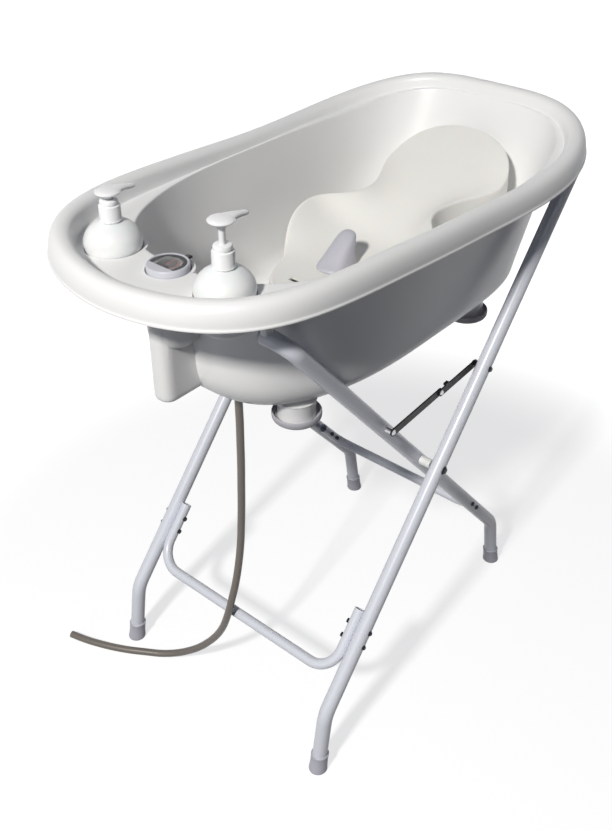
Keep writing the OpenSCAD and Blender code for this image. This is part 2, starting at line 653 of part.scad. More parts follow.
module drain_nut() {
    color([0.82, 0.83, 0.85]) translate([-drain_x, 0, basin_z - tub_wall - 9]) difference() {
        union() {
            cylinder(d = drain_hole_d + 16, h = 9);
            for (i = [0 : 7]) rotate([0, 0, 45 * i]) translate([drain_hole_d / 2 + 6, -2, 0]) cube([4, 4, 9]);
        }
        translate([0, 0, -1]) cylinder(d = tail_d + 0.4, h = 12);
    }
}
module drain_plug() {
    color([0.7, 0.71, 0.74]) translate([-drain_x, 0, 0]) {
        translate([0, 0, basin_z - 8]) cylinder(d1 = tail_bore - 3, d2 = tail_bore - 0.4, h = 12);
        translate([0, 0, basin_z + 3.7]) cylinder(d = tail_bore + 8, h = 2.5);
        translate([0, 0, basin_z + 6]) cylinder(d = 5, h = 4);
        translate([0, 0, basin_z + 10]) cylinder(d1 = 9, d2 = 13, h = 4);
    }
}

// ---- hose: one tube swept along a route of chosen points ----
hose_route = [
    [-236, 0, 617], [-236, 0, 604], [-236, 0, 590], [-236, 0, 560], [-237, 0, 520], [-238, 0, 480],
    [-240, 0, 440], [-242, 0, 400], [-245, 0, 360], [-249, 0, 320], [-256, 0, 280], [-265, 1, 240],
    [-274, 4, 205], [-279, 10, 172], [-281, 22, 135], [-283, 38, 103], [-287, 58, 74], [-293, 80, 49],
    [-301, 104, 29], [-311, 128, 15], [-324, 152, 8], [-339, 177, 7], [-355, 203, 7],
    [-370, 232, 7], [-382, 260, 7], [-392, 288, 7], [-400, 318, 7]
];
hose_sides = 12;
function spline(p0, p1, p2, p3, t) =
    0.5 * ((2 * p1) + (p2 - p0) * t + (2 * p0 - 5 * p1 + 4 * p2 - p3) * t * t
           + (3 * p1 - p0 - 3 * p2 + p3) * t * t * t);
function route_at(pts, s) =
    let (last = len(pts) - 1, i = min(floor(s), last - 1))
    spline(pts[max(i - 1, 0)], pts[i], pts[i + 1], pts[min(i + 2, last)], s - i);
function swept_ring(p, d, r, sides) =
    let (w = unit(d), x = unit(cross([0, 1, 0], w)), y = cross(w, x))
    [for (k = [0 : sides - 1]) p + r * (cos(360 * k / sides) * x + sin(360 * k / sides) * y)];
module swept_tube(pts, r, sides, steps) {
    n = len(pts) * steps - steps + 1;
    rings = [for (i = [0 : n - 1])
        let (s = i / steps, a = max(s - 0.05, 0), b = min(s + 0.05, len(pts) - 1))
        swept_ring(route_at(pts, s), route_at(pts, b) - route_at(pts, a), r, sides)];
    faces = concat(
        [for (k = [1 : sides - 2]) [0, k, k + 1]],
        [for (i = [0 : n - 2], k = [0 : sides - 1])
            let (a = i * sides + k, b = i * sides + (k + 1) % sides)
            each [[a, a + sides, b + sides], [a, b + sides, b]]],
        [for (k = [1 : sides - 2]) [(n - 1) * sides, (n - 1) * sides + k + 1, (n - 1) * sides + k]]);
    polyhedron([for (r = rings) each r], faces, convexity = 6);
}
hose_top = barb_top - 8.5;
// The chosen route, moved with the drain and stretched to its height
route = [for (p = hose_route)
    [p[0] - hose_route[0][0] - drain_x, p[1], p[2] * hose_top / hose_route[0][2]]];
module drain_hose() {
    color([0.55, 0.5, 0.47]) difference() {
        swept_tube(route, hose_d / 2, hose_sides, 2);
        translate([-drain_x, 0, hose_top - 19]) cylinder(d = barb_d + 0.2, h = 20);
    }
}

// ---- bottles ----
bottle_z = shelf_z - cup_depth + cup_wall + slack;
bottle_top = bottle_z + bottle_h;
neck_d = 24;
neck_h = 16;
bottle_wall = 1.5;
dome_h = 34;
// Outline of a bottle from its base to its neck, drawn in by skin
module bottle_outline(skin) {
    base_r = bottle_base_d / 2 - skin;
    wide_r = bottle_d / 2 - skin;
    dome_z = bottle_h - dome_h;
    steps = 14;
    top = bottle_h + neck_h + (skin > 0 ? 1 : 0);
    low = [for (i = [0 : 4]) let (a = 90 * i / 4) [base_r - 6 + 6 * sin(a), skin + 6 - 6 * cos(a)]];
    swell = [for (i = [1 : 5]) let (k = i / 5)
        [mix(base_r, wide_r, (1 - cos(180 * k)) / 2), mix(cup_depth - 12, dome_z, k)]];
    dome = [for (i = [1 : steps]) let (a = 68 * i / steps)
        [wide_r * cos(a), dome_z + (dome_h - skin) * sin(a)]];
    polygon(concat([[0, skin]], low, swell, dome,
                   [[neck_d / 2 - skin, bottle_h - skin], [neck_d / 2 - skin, top], [0, top]]));
}
module bottle(side) {
    color([0.96, 0.96, 0.96]) translate([bottle_x, side * bottle_y, bottle_z]) difference() {
        rotate_extrude($fn = 64) bottle_outline(0);
        rotate_extrude($fn = 64) bottle_outline(bottle_wall);
    }
}
collar_z = bottle_top + 0.4;
guide_d = 14;
guide_h = 8;
stem_d = 9;
module pump_collar(side) {
    color([0.97, 0.97, 0.97]) translate([bottle_x, side * bottle_y, collar_z]) difference() {
        union() {
            cylinder(d = collar_d, h = collar_h - 2);
            translate([0, 0, collar_h - 2]) cylinder(d1 = collar_d, d2 = collar_d - 3, h = 2);
            cylinder(d = collar_d + 1.6, h = 2);
        }
        translate([0, 0, -1]) cylinder(d = neck_d + 0.2, h = neck_h + 1.5);
        translate([0, 0, neck_h + 2]) cylinder(d = guide_d, h = collar_h - neck_h - 2 - guide_h);
        translate([0, 0, -1]) cylinder(d = stem_d + running, h = collar_h + 2);
    }
}
head_w = 27;
// Actuator: stem, skirted hub, oval press pad and down-turned spout, raised by rise
module pump_head(side, rise) {
    z = collar_z + collar_h + rise;
    color([0.98, 0.98, 0.98]) translate([bottle_x, side * bottle_y, z]) {
        difference() {
            union() {
                translate([0, 0, -pump_travel - 7]) cylinder(d = stem_d, h = pump_travel + 9);
                translate([0, 0, 0.4]) cylinder(d1 = stem_d + 3, d2 = head_w - 6, h = 6);
                translate([0, 0, 6]) cylinder(d1 = head_w - 3, d2 = head_w, h = 2);
                translate([0, 0, 8]) cylinder(d = head_w, h = 2.5);
                translate([0, 0, 10.5]) cylinder(d1 = head_w, d2 = head_w - 12, h = 4);
                hull() {
                    translate([8, -7, 5]) cube([1, 14, 7]);
                    translate([spout_reach - 6, -4, 10]) cube([1, 8, 5]);
                }
                hull() {
                    translate([spout_reach - 6, -4, 10]) cube([1, 8, 5]);
                    translate([spout_reach - 2, -3.5, 9]) cube([2, 7, 5]);
                }
            }
            translate([0, 0, -pump_travel - 8]) cylinder(d = 3, h = pump_travel + 18);
        }
    }
}
tube_gap = 6;
module dip_tube(side) {
    z0 = bottle_z + tube_gap;
    color([0.9, 0.9, 0.92]) translate([bottle_x, side * bottle_y, 0]) difference() {
        union() {
            translate([0, 0, z0]) cylinder(d = 7, h = bottle_top - 12 - z0);
            translate([0, 0, bottle_top - 30]) cylinder(d = 12, h = 30 + neck_h);
            translate([0, 0, bottle_top + neck_h]) cylinder(d = neck_d - 1, h = 0.8);
        }
        translate([0, 0, z0 - 1]) cylinder(d = 4.6, h = bottle_h);
        translate([0, 0, bottle_top - 27]) cylinder(d = stem_d + running, h = 60);
    }
}

// ---- thermometer ----
case_z = shelf_z - pocket_depth + slack;
case_wall = 2.5;
dial_drop = 3.5;
lens_h = 1.6;
module thermometer_case() {
    d = thermometer_d;
    color([0.8, 0.81, 0.85]) translate([thermometer_x, 0, case_z]) difference() {
        union() {
            cylinder(d1 = d - 4, d2 = d, h = 4);
            translate([0, 0, 4]) cylinder(d = d, h = thermometer_h - 6);
            translate([0, 0, thermometer_h - 2]) cylinder(d1 = d, d2 = d - 2.5, h = 2);
            // finger tab at the side
            translate([0, -5, pocket_depth + 1.5]) cube([d / 2 + 8, 10, 3]);
            translate([d / 2 + 8, 0, pocket_depth + 1.5]) cylinder(d = 10, h = 3);
        }
        translate([0, 0, case_wall]) cylinder(d = d - 2 * case_wall - 6, h = thermometer_h);
        translate([0, 0, thermometer_h - dial_drop]) cylinder(d = d - 2 * case_wall, h = thermometer_h);
        translate([d / 2 + 8, 0, 0]) cylinder(d = 4, h = thermometer_h);
    }
}
dial_z = case_z + thermometer_h - dial_drop - 3;
module thermometer_dial() {
    color([0.12, 0.12, 0.14]) translate([thermometer_x, 0, dial_z]) difference() {
        cylinder(d = thermometer_d - 2 * case_wall - 6.2, h = 1.4);
        translate([0, 0, -1]) cylinder(d = 2.4, h = 4);
    }
}
module thermometer_needle() {
    color([0.8, 0.15, 0.12]) translate([thermometer_x, 0, dial_z]) {
        translate([0, 0, -6]) cylinder(d = 2.3, h = 8.4);
        translate([0, 0, 1.7]) cylinder(d = 5, h = 0.8);
        translate([-4, -0.8, 1.7]) cube([18, 1.6, 0.7]);
    }
}
module thermometer_lens() {
    color([0.85, 0.9, 0.95, 0.4]) translate([thermometer_x, 0, case_z + thermometer_h - dial_drop])
        cylinder(d = thermometer_d - 2 * case_wall - 0.1, h = lens_h);
}

// ---- infant seat ----
seat_z = basin_z + seat_rise;
hip_w = seat_width / 2;
// Stations along the seat: x, then the heights of its middle and of its edge above the platform,
// its half width, and how far its skirt stays above the floor
seat_stations = [
    [-118, 0, 2, 0.22, 0], [-112, 0, 2, 0.36, 0], [-98, 0, 2, 0.47, 0], [-80, -1, 2, 0.54, 0],
    [-56, -2, 3, 0.6, 0], [-36, -2, 4, 0.67, 0], [-18, -3, 10, 0.78, 0], [0, -3, 22, 0.88, 0],
    [18, -3, 38, 0.95, 0], [38, -2, 50, 0.99, 0], [62, 0, 58, 1, 0], [88, 3, 60, 0.99, 0],
    [108, 8, 60, 0.9, 0], [126, 15, 59, 0.77, 0], [148, 25, 58, 0.66, 0], [176, 37, 59, 0.6, 0],
    [206, 50, 61, 0.64, 0], [238, 64, 63, 0.75, 2], [268, 78, 65, 0.88, 8], [294, 89, 68, 0.96, 20],
    [316, 99, 77, 0.95, 36], [332, 106, 88, 0.9, 60], [348, 113, 99, 0.82, 84], [362, 119, 109, 0.7, 110],
    [372, 123, 117, 0.53, 130], [378, 126, 122, 0.34, 146]
];
seat_cols = 12;
seat_last = len(seat_stations) - 1;
function seat_inset(i) = i == 0 ? seat_wall : i == seat_last ? -seat_wall : 0;
// Row i of the seat's outside, skin = 0, or of its hollow side: skirt, top and skirt again
function seat_row(i, skin) =
    let (s = seat_stations[i], x = s[0] + (skin > 0 ? seat_inset(i) : 0),
         full = s[3] * hip_w, half = full - skin, foot = basin_z + slack + s[4])
    concat([[x, half, foot]],
           [for (c = [0 : seat_cols])
               let (y = half * sin(90 - 180 * c / seat_cols), v = abs(y) / full,
                    slope = (s[2] - s[1]) * 2.6 * pow(v, 1.6) / full)
               [x, y, seat_z + mix(s[1], s[2], pow(v, 2.6)) - skin * sqrt(1 + slope * slope)]],
           [[x, -half, foot]]);
module seat_shell() {
    color([0.97, 0.97, 0.95]) difference() {
        loft_sheet([for (i = [0 : seat_last]) seat_row(i, 0)],
                   [for (i = [0 : seat_last]) seat_row(i, seat_wall)]);
        // slot for the pommel's latch, and the pommel's socket
        translate([latch_slot_x, -latch_slot_w / 2, seat_z - 8]) cube([5, latch_slot_w, 16]);
        translate([pommel_x - 11, -7, seat_z - 12]) cube([22, 14, 24]);
    }
}
pommel_x = -2;
latch_slot_x = -80;
latch_slot_w = 56;
// Grey post between the legs, wide at its base and leaning towards the back
module seat_pommel() {
    color([0.78, 0.77, 0.82]) {
        translate([pommel_x - 10.7, -6.7, seat_z - 9]) cube([21.4, 13.4, 10]);
        hull() {
            for (x = [-24, 22], y = [-17, 17]) translate([pommel_x + x, y, seat_z - 1.4])
                cylinder(r = 9, h = 1, $fn = 32);
            for (y = [-8, 8]) translate([pommel_x + 32, y, seat_z + pommel_h - 9]) sphere(r = 9, $fn = 32);
            for (y = [-11, 11]) translate([pommel_x + 8, y, seat_z + pommel_h - 20]) sphere(r = 9, $fn = 32);
        }
    }
}

tub();
tub_foot_rings();
drain_body();
drain_washer();
drain_nut();
drain_plug();
drain_hose();
bottle(near);  // bottle_near
bottle(far);  // bottle_far
pump_collar(near);  // pump_collar_near
pump_collar(far);  // pump_collar_far
pump_head(near, pump_travel);  // pump_head_near
pump_head(far, 0);  // pump_head_far
dip_tube(near);  // dip_tube_near
dip_tube(far);  // dip_tube_far
thermometer_case();
thermometer_dial();
thermometer_needle();
thermometer_lens();
seat_shell();
seat_pommel();
outer_leg(near);  // outer_leg_near
outer_leg(far);  // outer_leg_far
inner_leg(near);  // inner_leg_near
inner_leg(far);  // inner_leg_far
front_spreader();
rear_spreader();
outer_foot_caps();
inner_foot_caps();
rim_saddles();
inner_leg_plugs();
pivot_bolts();
pivot_spacers();
front_spreader_bolts();
rear_spreader_bolts();
stay_upper(near);  // stay_upper_near
stay_upper(far);  // stay_upper_far
stay_lower(near);  // stay_lower_near
stay_lower(far);  // stay_lower_far
stay_bolts();
knee_rivet(near);  // knee_rivet_near
knee_rivet(far);  // knee_rivet_far
stay_pin(near);  // stay_pin_near
stay_pin(far);  // stay_pin_far
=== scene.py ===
"""Dresses the baby bath on its folding stand: tub, infant seat, bottles, thermometer, drain and stand.

Metres in the scene; the classes hold their sizes in millimetres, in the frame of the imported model.
"""

import logging
import math
from contextlib import contextmanager
from dataclasses import dataclass
from enum import Enum
from typing import Callable, Iterator, Sequence

import bpy
from mathutils import Matrix, Vector


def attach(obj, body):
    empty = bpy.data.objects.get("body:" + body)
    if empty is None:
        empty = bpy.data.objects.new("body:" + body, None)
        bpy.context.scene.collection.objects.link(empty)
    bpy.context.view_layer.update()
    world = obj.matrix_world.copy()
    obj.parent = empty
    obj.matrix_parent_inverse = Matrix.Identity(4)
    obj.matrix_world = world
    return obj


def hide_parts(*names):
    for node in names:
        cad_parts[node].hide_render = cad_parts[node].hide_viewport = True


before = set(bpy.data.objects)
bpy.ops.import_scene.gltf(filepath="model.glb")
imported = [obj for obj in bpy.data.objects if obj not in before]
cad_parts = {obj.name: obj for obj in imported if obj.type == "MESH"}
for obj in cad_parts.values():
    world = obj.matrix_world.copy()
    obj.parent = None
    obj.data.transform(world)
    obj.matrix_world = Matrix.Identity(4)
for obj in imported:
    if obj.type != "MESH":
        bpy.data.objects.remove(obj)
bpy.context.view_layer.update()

log = logging.getLogger("bath")
MM = 0.001
Point = tuple[float, float, float]
Outline = Sequence[tuple[float, float]]
Sockets = dict[str | int, object]
Piece, Tree, Socket = bpy.types.Object, bpy.types.NodeTree, bpy.types.NodeSocket


class Side(Enum):
    """The two sides of the bath; NEAR faces the camera."""

    NEAR = -1
    FAR = 1

    @property
    def tag(self) -> str:
        """Ending of the names of this side's pieces."""
        return self.name.lower()


class End(Enum):
    """The two ends of the bath along X: the outer legs stand at the foot end, the inner ones at the head end."""

    FOOT = -1
    HEAD = 1

    @property
    def tag(self) -> str:
        """Word for this end in the names of pieces."""
        return "front" if self is End.FOOT else "rear"

    @property
    def pair(self) -> str:
        """The pair of legs that stands here."""
        return "outer" if self is End.FOOT else "inner"


# ---------------------------------------------------------------- materials

# nearly all of a noise's values lie between these
NOISE_LOW, NOISE_HIGH = 0.3, 0.7
# scales of the drift, a hand's width or 90 mm, and of the scuffs, a fingertip or 14 mm
DRIFT_SCALE, SCUFF_SCALE = 11.0, 70.0
TICK_GREY = "#D9DADD"


def linear(code: str) -> tuple[float, float, float, float]:
    """Turns an sRGB hex colour to the linear colour a shader takes.

    Args:
        code: Six hex digits after a hash sign.

    Returns:
        Red, green, blue and alpha, linear.
    """
    parts = [int(code[i : i + 2], 16) / 255 for i in (1, 3, 5)]
    return tuple(c / 12.92 if c <= 0.04045 else ((c + 0.055) / 1.055) ** 2.4 for c in parts) + (1.0,)


def add(tree: Tree, kind: str, sockets: Sockets | None = None, **settings: object) -> bpy.types.Node:
    """Adds a node with its settings and links.

    Args:
        tree: The tree that takes the node.
        kind: Node type.
        sockets: Input name or index to a value, or to the output that is linked to it.
        **settings: Properties of the node.

    Returns:
        The node.
    """
    node = tree.nodes.new(kind)
    for key, value in settings.items():
        setattr(node, key, value)
    for key, value in (sockets or {}).items():
        if isinstance(value, Socket):
            tree.links.new(value, node.inputs[key])
        else:
            node.inputs[key].default_value = value
    return node


def emptied(owner: bpy.types.Material | bpy.types.World) -> Tree:
    """Empties the node tree of a material or of the world.

    Args:
        owner: Whose tree it is.

    Returns:
        The tree.
    """
    owner.use_nodes = True
    owner.node_tree.nodes.clear()
    return owner.node_tree


def position(tree: Tree) -> Socket:
    """The piece's own coordinates."""
    return add(tree, "ShaderNodeTexCoord").outputs["Object"]


def noise(tree: Tree, place: Socket, scale: float, detail: float = 2.0) -> Socket:
    """Value of a noise."""
    return add(tree, "ShaderNodeTexNoise", {"Vector": place, "Scale": scale, "Detail": detail}).outputs[0]


def maths(tree: Tree, operation: str, *values: float | Socket) -> Socket:
    """Result of one operation on its values."""
    return add(tree, "ShaderNodeMath", dict(enumerate(values)), operation=operation).outputs[0]


def tinted(tree: Tree, share: Socket, first: str | Socket, second: str | Socket) -> Socket:
    """Mix of two colours, each an output or an sRGB hex, by a share."""
    ends = [linear(c) if isinstance(c, str) else c for c in (first, second)]
    return add(tree, "ShaderNodeMix", {0: share, 6: ends[0], 7: ends[1]}, data_type="RGBA").outputs[2]


def ranged(tree: Tree, value: Socket, low: float, high: float) -> Socket:
    """Value moved to a range from that which nearly all of a noise lies in."""
    span = {"Value": value, "From Min": NOISE_LOW, "From Max": NOISE_HIGH, "To Min": low, "To Max": high}
    return add(tree, "ShaderNodeMapRange", span).outputs[0]


def embossed(tree: Tree, height: Socket, strength: float, depth: float) -> Socket:
    """Normal of a relief whose depth is in metres."""
    return add(tree, "ShaderNodeBump", {"Height": height, "Strength": strength, "Distance": depth}).outputs[0]


@dataclass(frozen=True)
class Finish:
    """A surface: its shader values, a slow drift of its colour and a fine relief.

    Attributes:
        name: Common name of the material and how its surface was made.
        colour: sRGB hex of the surface.
        drift: sRGB hex that the colour drifts to over a hand's width, as ageing and handling leave it.
        roughness: Mean roughness.
        spread: How far scuffs move the roughness either way.
        grain: Size of the relief in millimetres.
        relief: Depth of the relief in millimetres.
        ior: Index of refraction.
        extra: Other sockets of the Principled shader.
    """

    name: str
    colour: str
    drift: str
    roughness: float
    spread: float = 0.06
    grain: float = 1.2
    relief: float = 0.02
    ior: float = 1.49
    extra: tuple[tuple[str, object], ...] = ()

    def surface(self, tree: Tree) -> Sockets:
        """Wires the drift, the scuffs and the relief.

        Args:
            tree: The material's nodes.

        Returns:
            What the shader's sockets take.
        """
        place = position(tree)
        return {"Base Color": tinted(tree, noise(tree, place, DRIFT_SCALE, 3.0), self.colour, self.drift),
                "Roughness": self.worn(tree, noise(tree, place, SCUFF_SCALE, 3.0)),
                "Normal": embossed(tree, noise(tree, place, 1 / (self.grain * MM)), 0.5, self.relief * MM),
                "IOR": self.ior, **dict(self.extra)}

    def worn(self, tree: Tree, value: Socket) -> Socket:
        """Roughness that a noise moves either way from its mean."""
        return ranged(tree, value, self.roughness - self.spread, self.roughness + self.spread)

    def material(self) -> bpy.types.Material:
        """Builds the material, once.

        Returns:
            The material.
        """
        made = bpy.data.materials.get(self.name)
        if not made:
            made = bpy.data.materials.new(self.name)
            tree = emptied(made)
            shader = add(tree, "ShaderNodeBsdfPrincipled", self.surface(tree))
            add(tree, "ShaderNodeOutputMaterial", {"Surface": shader.outputs[0]})
        return made

    def dress(self, piece: Piece) -> None:
        """Puts the material on every face of the piece."""
        piece.data.materials.clear()
        piece.data.materials.append(self.material())


# The denoiser takes a surface as rough above a roughness of about 0.274, and leaves hard-edged patches where a
# noise crosses that, so each range of roughness below stays on one side of it.

# Polypropylene out of a polished mould: white with a soft, broad gloss
TUB_PP = Finish("polypropylene_moulded_white", "#F1F1F2", "#EEEEEE", 0.32, 0.035, 6.0, 0.006, 1.49)
# The seat's plastic is a shade creamier and a little duller
SEAT_PP = Finish("polypropylene_moulded_cream", "#F4F3F0", "#F1EFEA", 0.34, 0.04, 6.0, 0.006, 1.49,
                 (("Subsurface Weight", 0.08), ("Subsurface Scale", 0.004)))
# Soft grip plastic: lilac grey, near matt
POMMEL_TPE = Finish("elastomer_moulded_lilac_grey", "#C0BFC8", "#B9B8C2", 0.42, 0.06, 1.0, 0.02, 1.5)
# Blown polyethylene: white, slightly see-through, with a silky gloss
BOTTLE_PE = Finish("polyethylene_blown_white", "#F3F3F3", "#F0F0F1", 0.33, 0.04, 4.0, 0.008, 1.51,
                   (("Subsurface Weight", 0.12), ("Subsurface Scale", 0.003)))
# Pump parts are moulded to a higher gloss than the bottle
PUMP_PP = Finish("polypropylene_moulded_pump_white", "#F4F4F5", "#F1F1F3", 0.22, 0.04, 3.0, 0.005, 1.49)
# ABS case of the thermometer: cool light grey, satin
CASE_ABS = Finish("abs_moulded_cool_grey", "#CBCCD4", "#C3C4CE", 0.33, 0.05, 0.8, 0.012, 1.54)
# Black ABS bezel and tab, glossy
BEZEL_ABS = Finish("abs_moulded_black", "#111113", "#18171A", 0.2, 0.03, 0.8, 0.008, 1.54,
                   (("Specular IOR Level", 0.3),))
# Steel tube under a polyester powder coat: cool lavender grey, satin, with an orange peel of 4 mm
LEG_PAINT = Finish("steel_powder_coated_lavender_grey", "#DFE1EA", "#D8DBE6", 0.33, 0.04, 4.0, 0.003, 1.5,
                   (("Coat Weight", 0.2), ("Coat Roughness", 0.15)))
# Flat steel in black paint: satin, with the rolled sheet just telling through
STAY_PAINT = Finish("steel_painted_black", "#101113", "#17181A", 0.4, 0.06, 1.8, 0.02, 1.5,
                    (("Specular IOR Level", 0.3),))
# Black zinc on steel fasteners: dark, mostly metallic
BOLT_ZINC = Finish("steel_black_zinc", "#232428", "#303136", 0.38, 0.09, 0.6, 0.02, 1.5, (("Metallic", 0.85),))
# Bright rivets, burnished where the tool struck
RIVET_STEEL = Finish("steel_zinc_bright", "#C9CACD", "#B5B6BA", 0.2, 0.06, 0.7, 0.02, 1.5, (("Metallic", 1.0),))
# Polyethylene caps at the tube ends: one shade off the paint, duller
CAP_PE = Finish("polyethylene_moulded_cap_grey", "#BFBFC9", "#B7B7C3", 0.44, 0.06, 1.2, 0.02, 1.51)
# Nylon spacers: white and waxy
SPACER_PA = Finish("nylon_moulded_white", "#ECECEA", "#E4E4E2", 0.36, 0.05, 1.0, 0.01, 1.53)
# Rubber rings on the tub's feet: light grey, near matt
FOOT_RUBBER = Finish("rubber_moulded_grey", "#B4B3B9", "#A6A5AC", 0.6, 0.08, 0.9, 0.04, 1.52)
# Drain fittings: grey acetal
DRAIN_POM = Finish("acetal_moulded_grey", "#B9BAC0", "#AFB0B7", 0.34, 0.05, 1.0, 0.01, 1.48)
WASHER_RUBBER = Finish("rubber_sheet_black", "#2A2A2D", "#35353A", 0.7, 0.08, 0.9, 0.04, 1.52)
# Clear tube inside the bottle, milky from its wall
DIP_PE = Finish("polyethylene_extruded_milky", "#E4E5E6", "#DCDDDF", 0.35, 0.05, 2.0, 0.01, 1.51)
NEEDLE_PAINT = Finish("aluminium_painted_red", "#7E1F19", "#741A15", 0.4, 0.06, 0.6, 0.008, 1.5)


@dataclass(frozen=True)
class HoseVinyl(Finish):
    """Soft clear PVC hose, smoky brown from its age: one sees a little through it, with fine drawn streaks."""

    def surface(self, tree: Tree) -> Sockets:
        """Wires a tinted, partly clear wall, streaked along its length.

        Args:
            tree: The material's nodes.

        Returns:
            What the shader's sockets take.
        """
        # the tube's own U runs round it and V along it; streaks 1.5 mm apart round its 41 mm girth
        uv = add(tree, "ShaderNodeUVMap", uv_map="along").outputs[0]
        streak = noise(tree, add(tree, "ShaderNodeMapping", {"Vector": uv, "Scale": (26.0, 5.0, 1.0)}).outputs[0],
                       1.0, 3.0)
        return {"Base Color": tinted(tree, streak, self.colour, self.drift), "Roughness": self.worn(tree, streak),
                "Normal": embossed(tree, streak, 0.4, self.relief * MM), "IOR": self.ior, **dict(self.extra)}


HOSE_PVC = HoseVinyl("pvc_extruded_smoky_brown", "#7F766F", "#6C635C", 0.36, 0.06, relief=0.2, ior=1.53, extra=(
    ("Transmission Weight", 0.2), ("Coat Weight", 0.2), ("Coat Roughness", 0.1)))


@dataclass(frozen=True)
class ClearLens(Finish):
    """Polycarbonate window: clear, with a hard gloss and hairline rub marks."""

    def surface(self, tree: Tree) -> Sockets:
        """Wires the rub marks.

        Args:
            tree: The material's nodes.

        Returns:
            What the shader's sockets take.
        """
        rub = {"Value": noise(tree, position(tree), 900.0, 4.0), "To Min": self.roughness - self.spread,
               "To Max": self.roughness + self.spread}
        return {"Base Color": linear(self.colour), "Roughness": add(tree, "ShaderNodeMapRange", rub).outputs[0],
                "IOR": self.ior, "Transmission Weight": 1.0, "Alpha": 0.16}


LENS_PC = ClearLens("polycarbonate_moulded_clear", "#F4F6F8", "#F4F6F8", 0.055, 0.025, ior=1.58)


@dataclass(frozen=True)
class DialPrint(Finish):
    """Black lacquered dial, with a ring of pale ticks and a red warm zone worked out from the angle."""

    centre: Point = (0.0, 0.0, 0.0)
    ring: float = 17.0
    ticks: int = 40
    warm_to: float = -0.4

    def surface(self, tree: Tree) -> Sockets:
        """Wires the printed face.

        Args:
            tree: The material's nodes.

        Returns:
            What the shader's sockets take.
        """
        place = position(tree)
        local = add(tree, "ShaderNodeVectorMath", {0: place, 1: [c * MM for c in self.centre]},
                    operation="SUBTRACT").outputs[0]
        x, y, _ = add(tree, "ShaderNodeSeparateXYZ", {0: local}).outputs
        radius = maths(tree, "SQRT", maths(tree, "MULTIPLY_ADD", y, y, maths(tree, "MULTIPLY", x, x)))
        angle = maths(tree, "ARCTAN2", y, x)
        comb = maths(tree, "FRACT", maths(tree, "MULTIPLY", angle, self.ticks / math.tau))
        tick = maths(tree, "LESS_THAN", comb, 0.3)
        # the ring of ticks is 2.4 mm wide, the coloured zone inside it 2 mm
        band = maths(tree, "COMPARE", radius, self.ring * MM, 0.0012)
        zone = maths(tree, "COMPARE", radius, (self.ring - 3) * MM, 0.001)
        marks = maths(tree, "MULTIPLY", tick, band)
        heat = maths(tree, "MULTIPLY", zone, maths(tree, "LESS_THAN", angle, self.warm_to))
        face = tinted(tree, heat, tinted(tree, marks, self.colour, TICK_GREY), self.drift)
        return {"Base Color": face, "Roughness": self.roughness, "IOR": self.ior, "Specular IOR Level": 0.15,
                "Normal": embossed(tree, noise(tree, place, 2500.0), 0.3, 0.02 * MM)}


# ---------------------------------------------------------------- bench tools


def deselect() -> None:
    """Leaves edit mode and drops every selection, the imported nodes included."""
    if bpy.context.object and bpy.context.object.mode != "OBJECT":
        bpy.ops.object.mode_set(mode="OBJECT")
    bpy.ops.object.select_all(action="DESELECT")


def only(piece: Piece) -> None:
    """Makes the piece the one selected and active object.

    Args:
        piece: The piece.
    """
    deselect()
    piece.select_set(True)
    bpy.context.view_layer.objects.active = piece


@contextmanager
def editing(piece: Piece) -> Iterator[None]:
    """Opens a piece in edit mode with all of it selected, and closes it after.

    Args:
        piece: The piece.

    Yields:
        Nothing; the piece is open while the block runs.
    """
    only(piece)
    bpy.ops.object.mode_set(mode="EDIT")
    bpy.ops.mesh.select_all(action="SELECT")
    yield
    bpy.ops.object.mode_set(mode="OBJECT")


def named(name: str) -> Piece:
    """Names the object that was just added, and its mesh.

    Args:
        name: The name.

    Returns:
        The object.
    """
    piece = bpy.context.object
    piece.name = piece.data.name = name
    return piece


def tidy_mesh(piece: Piece, gap: float = 1e-6) -> Piece:
    """Merges doubles and points the faces outwards.

    Args:
        piece: The piece.
        gap: Distance under which two points are one.

    Returns:
        The same piece.
    """
    with editing(piece):
        bpy.ops.mesh.remove_doubles(threshold=gap)
        bpy.ops.mesh.normals_make_consistent(inside=False)
    return piece


def work(piece: Piece, kind: str, **settings: object) -> Piece:
    """Adds a modifier and applies it.

    Args:
        piece: The piece.
        kind: Modifier type.
        **settings: Its settings.

    Returns:
        The same piece.
    """
    only(piece)
    made = piece.modifiers.new(kind.lower(), kind)
    for key, value in settings.items():
        setattr(made, key, value)
    bpy.ops.object.modifier_apply(modifier=made.name)
    return piece


def smoothed(piece: Piece, angle: float = 35.0) -> Piece:
    """Shades the piece smooth, with edges sharper than the angle left crisp.

    Args:
        piece: The piece.
        angle: Degrees.

    Returns:
        The same piece.
    """
    only(piece)
    bpy.ops.object.shade_smooth_by_angle(angle=math.radians(angle))
    return piece


def placed(piece: Piece, matrix: Matrix) -> Piece:
    """Moves the piece's mesh, so that its object stays at the origin.

    Args:
        piece: The piece.
        matrix: Where its own axes go, in metres.

    Returns:
        The same piece.
    """
    piece.data.transform(matrix)
    piece.data.update()
    return piece


def upright(x: float, y: float, z: float) -> Matrix:
    """A place in millimetres with no turn."""
    return Matrix.Translation((x * MM, y * MM, z * MM))


def along(start: Vector, way: Vector) -> Matrix:
    """Puts +Z on the given way.

    Args:
        start: Where the origin goes, in millimetres.
        way: Where +Z points.

    Returns:
        The matrix, in metres.
    """
    return Matrix.Translation(start * MM) @ way.to_track_quat("Z", "Y").to_matrix().to_4x4()


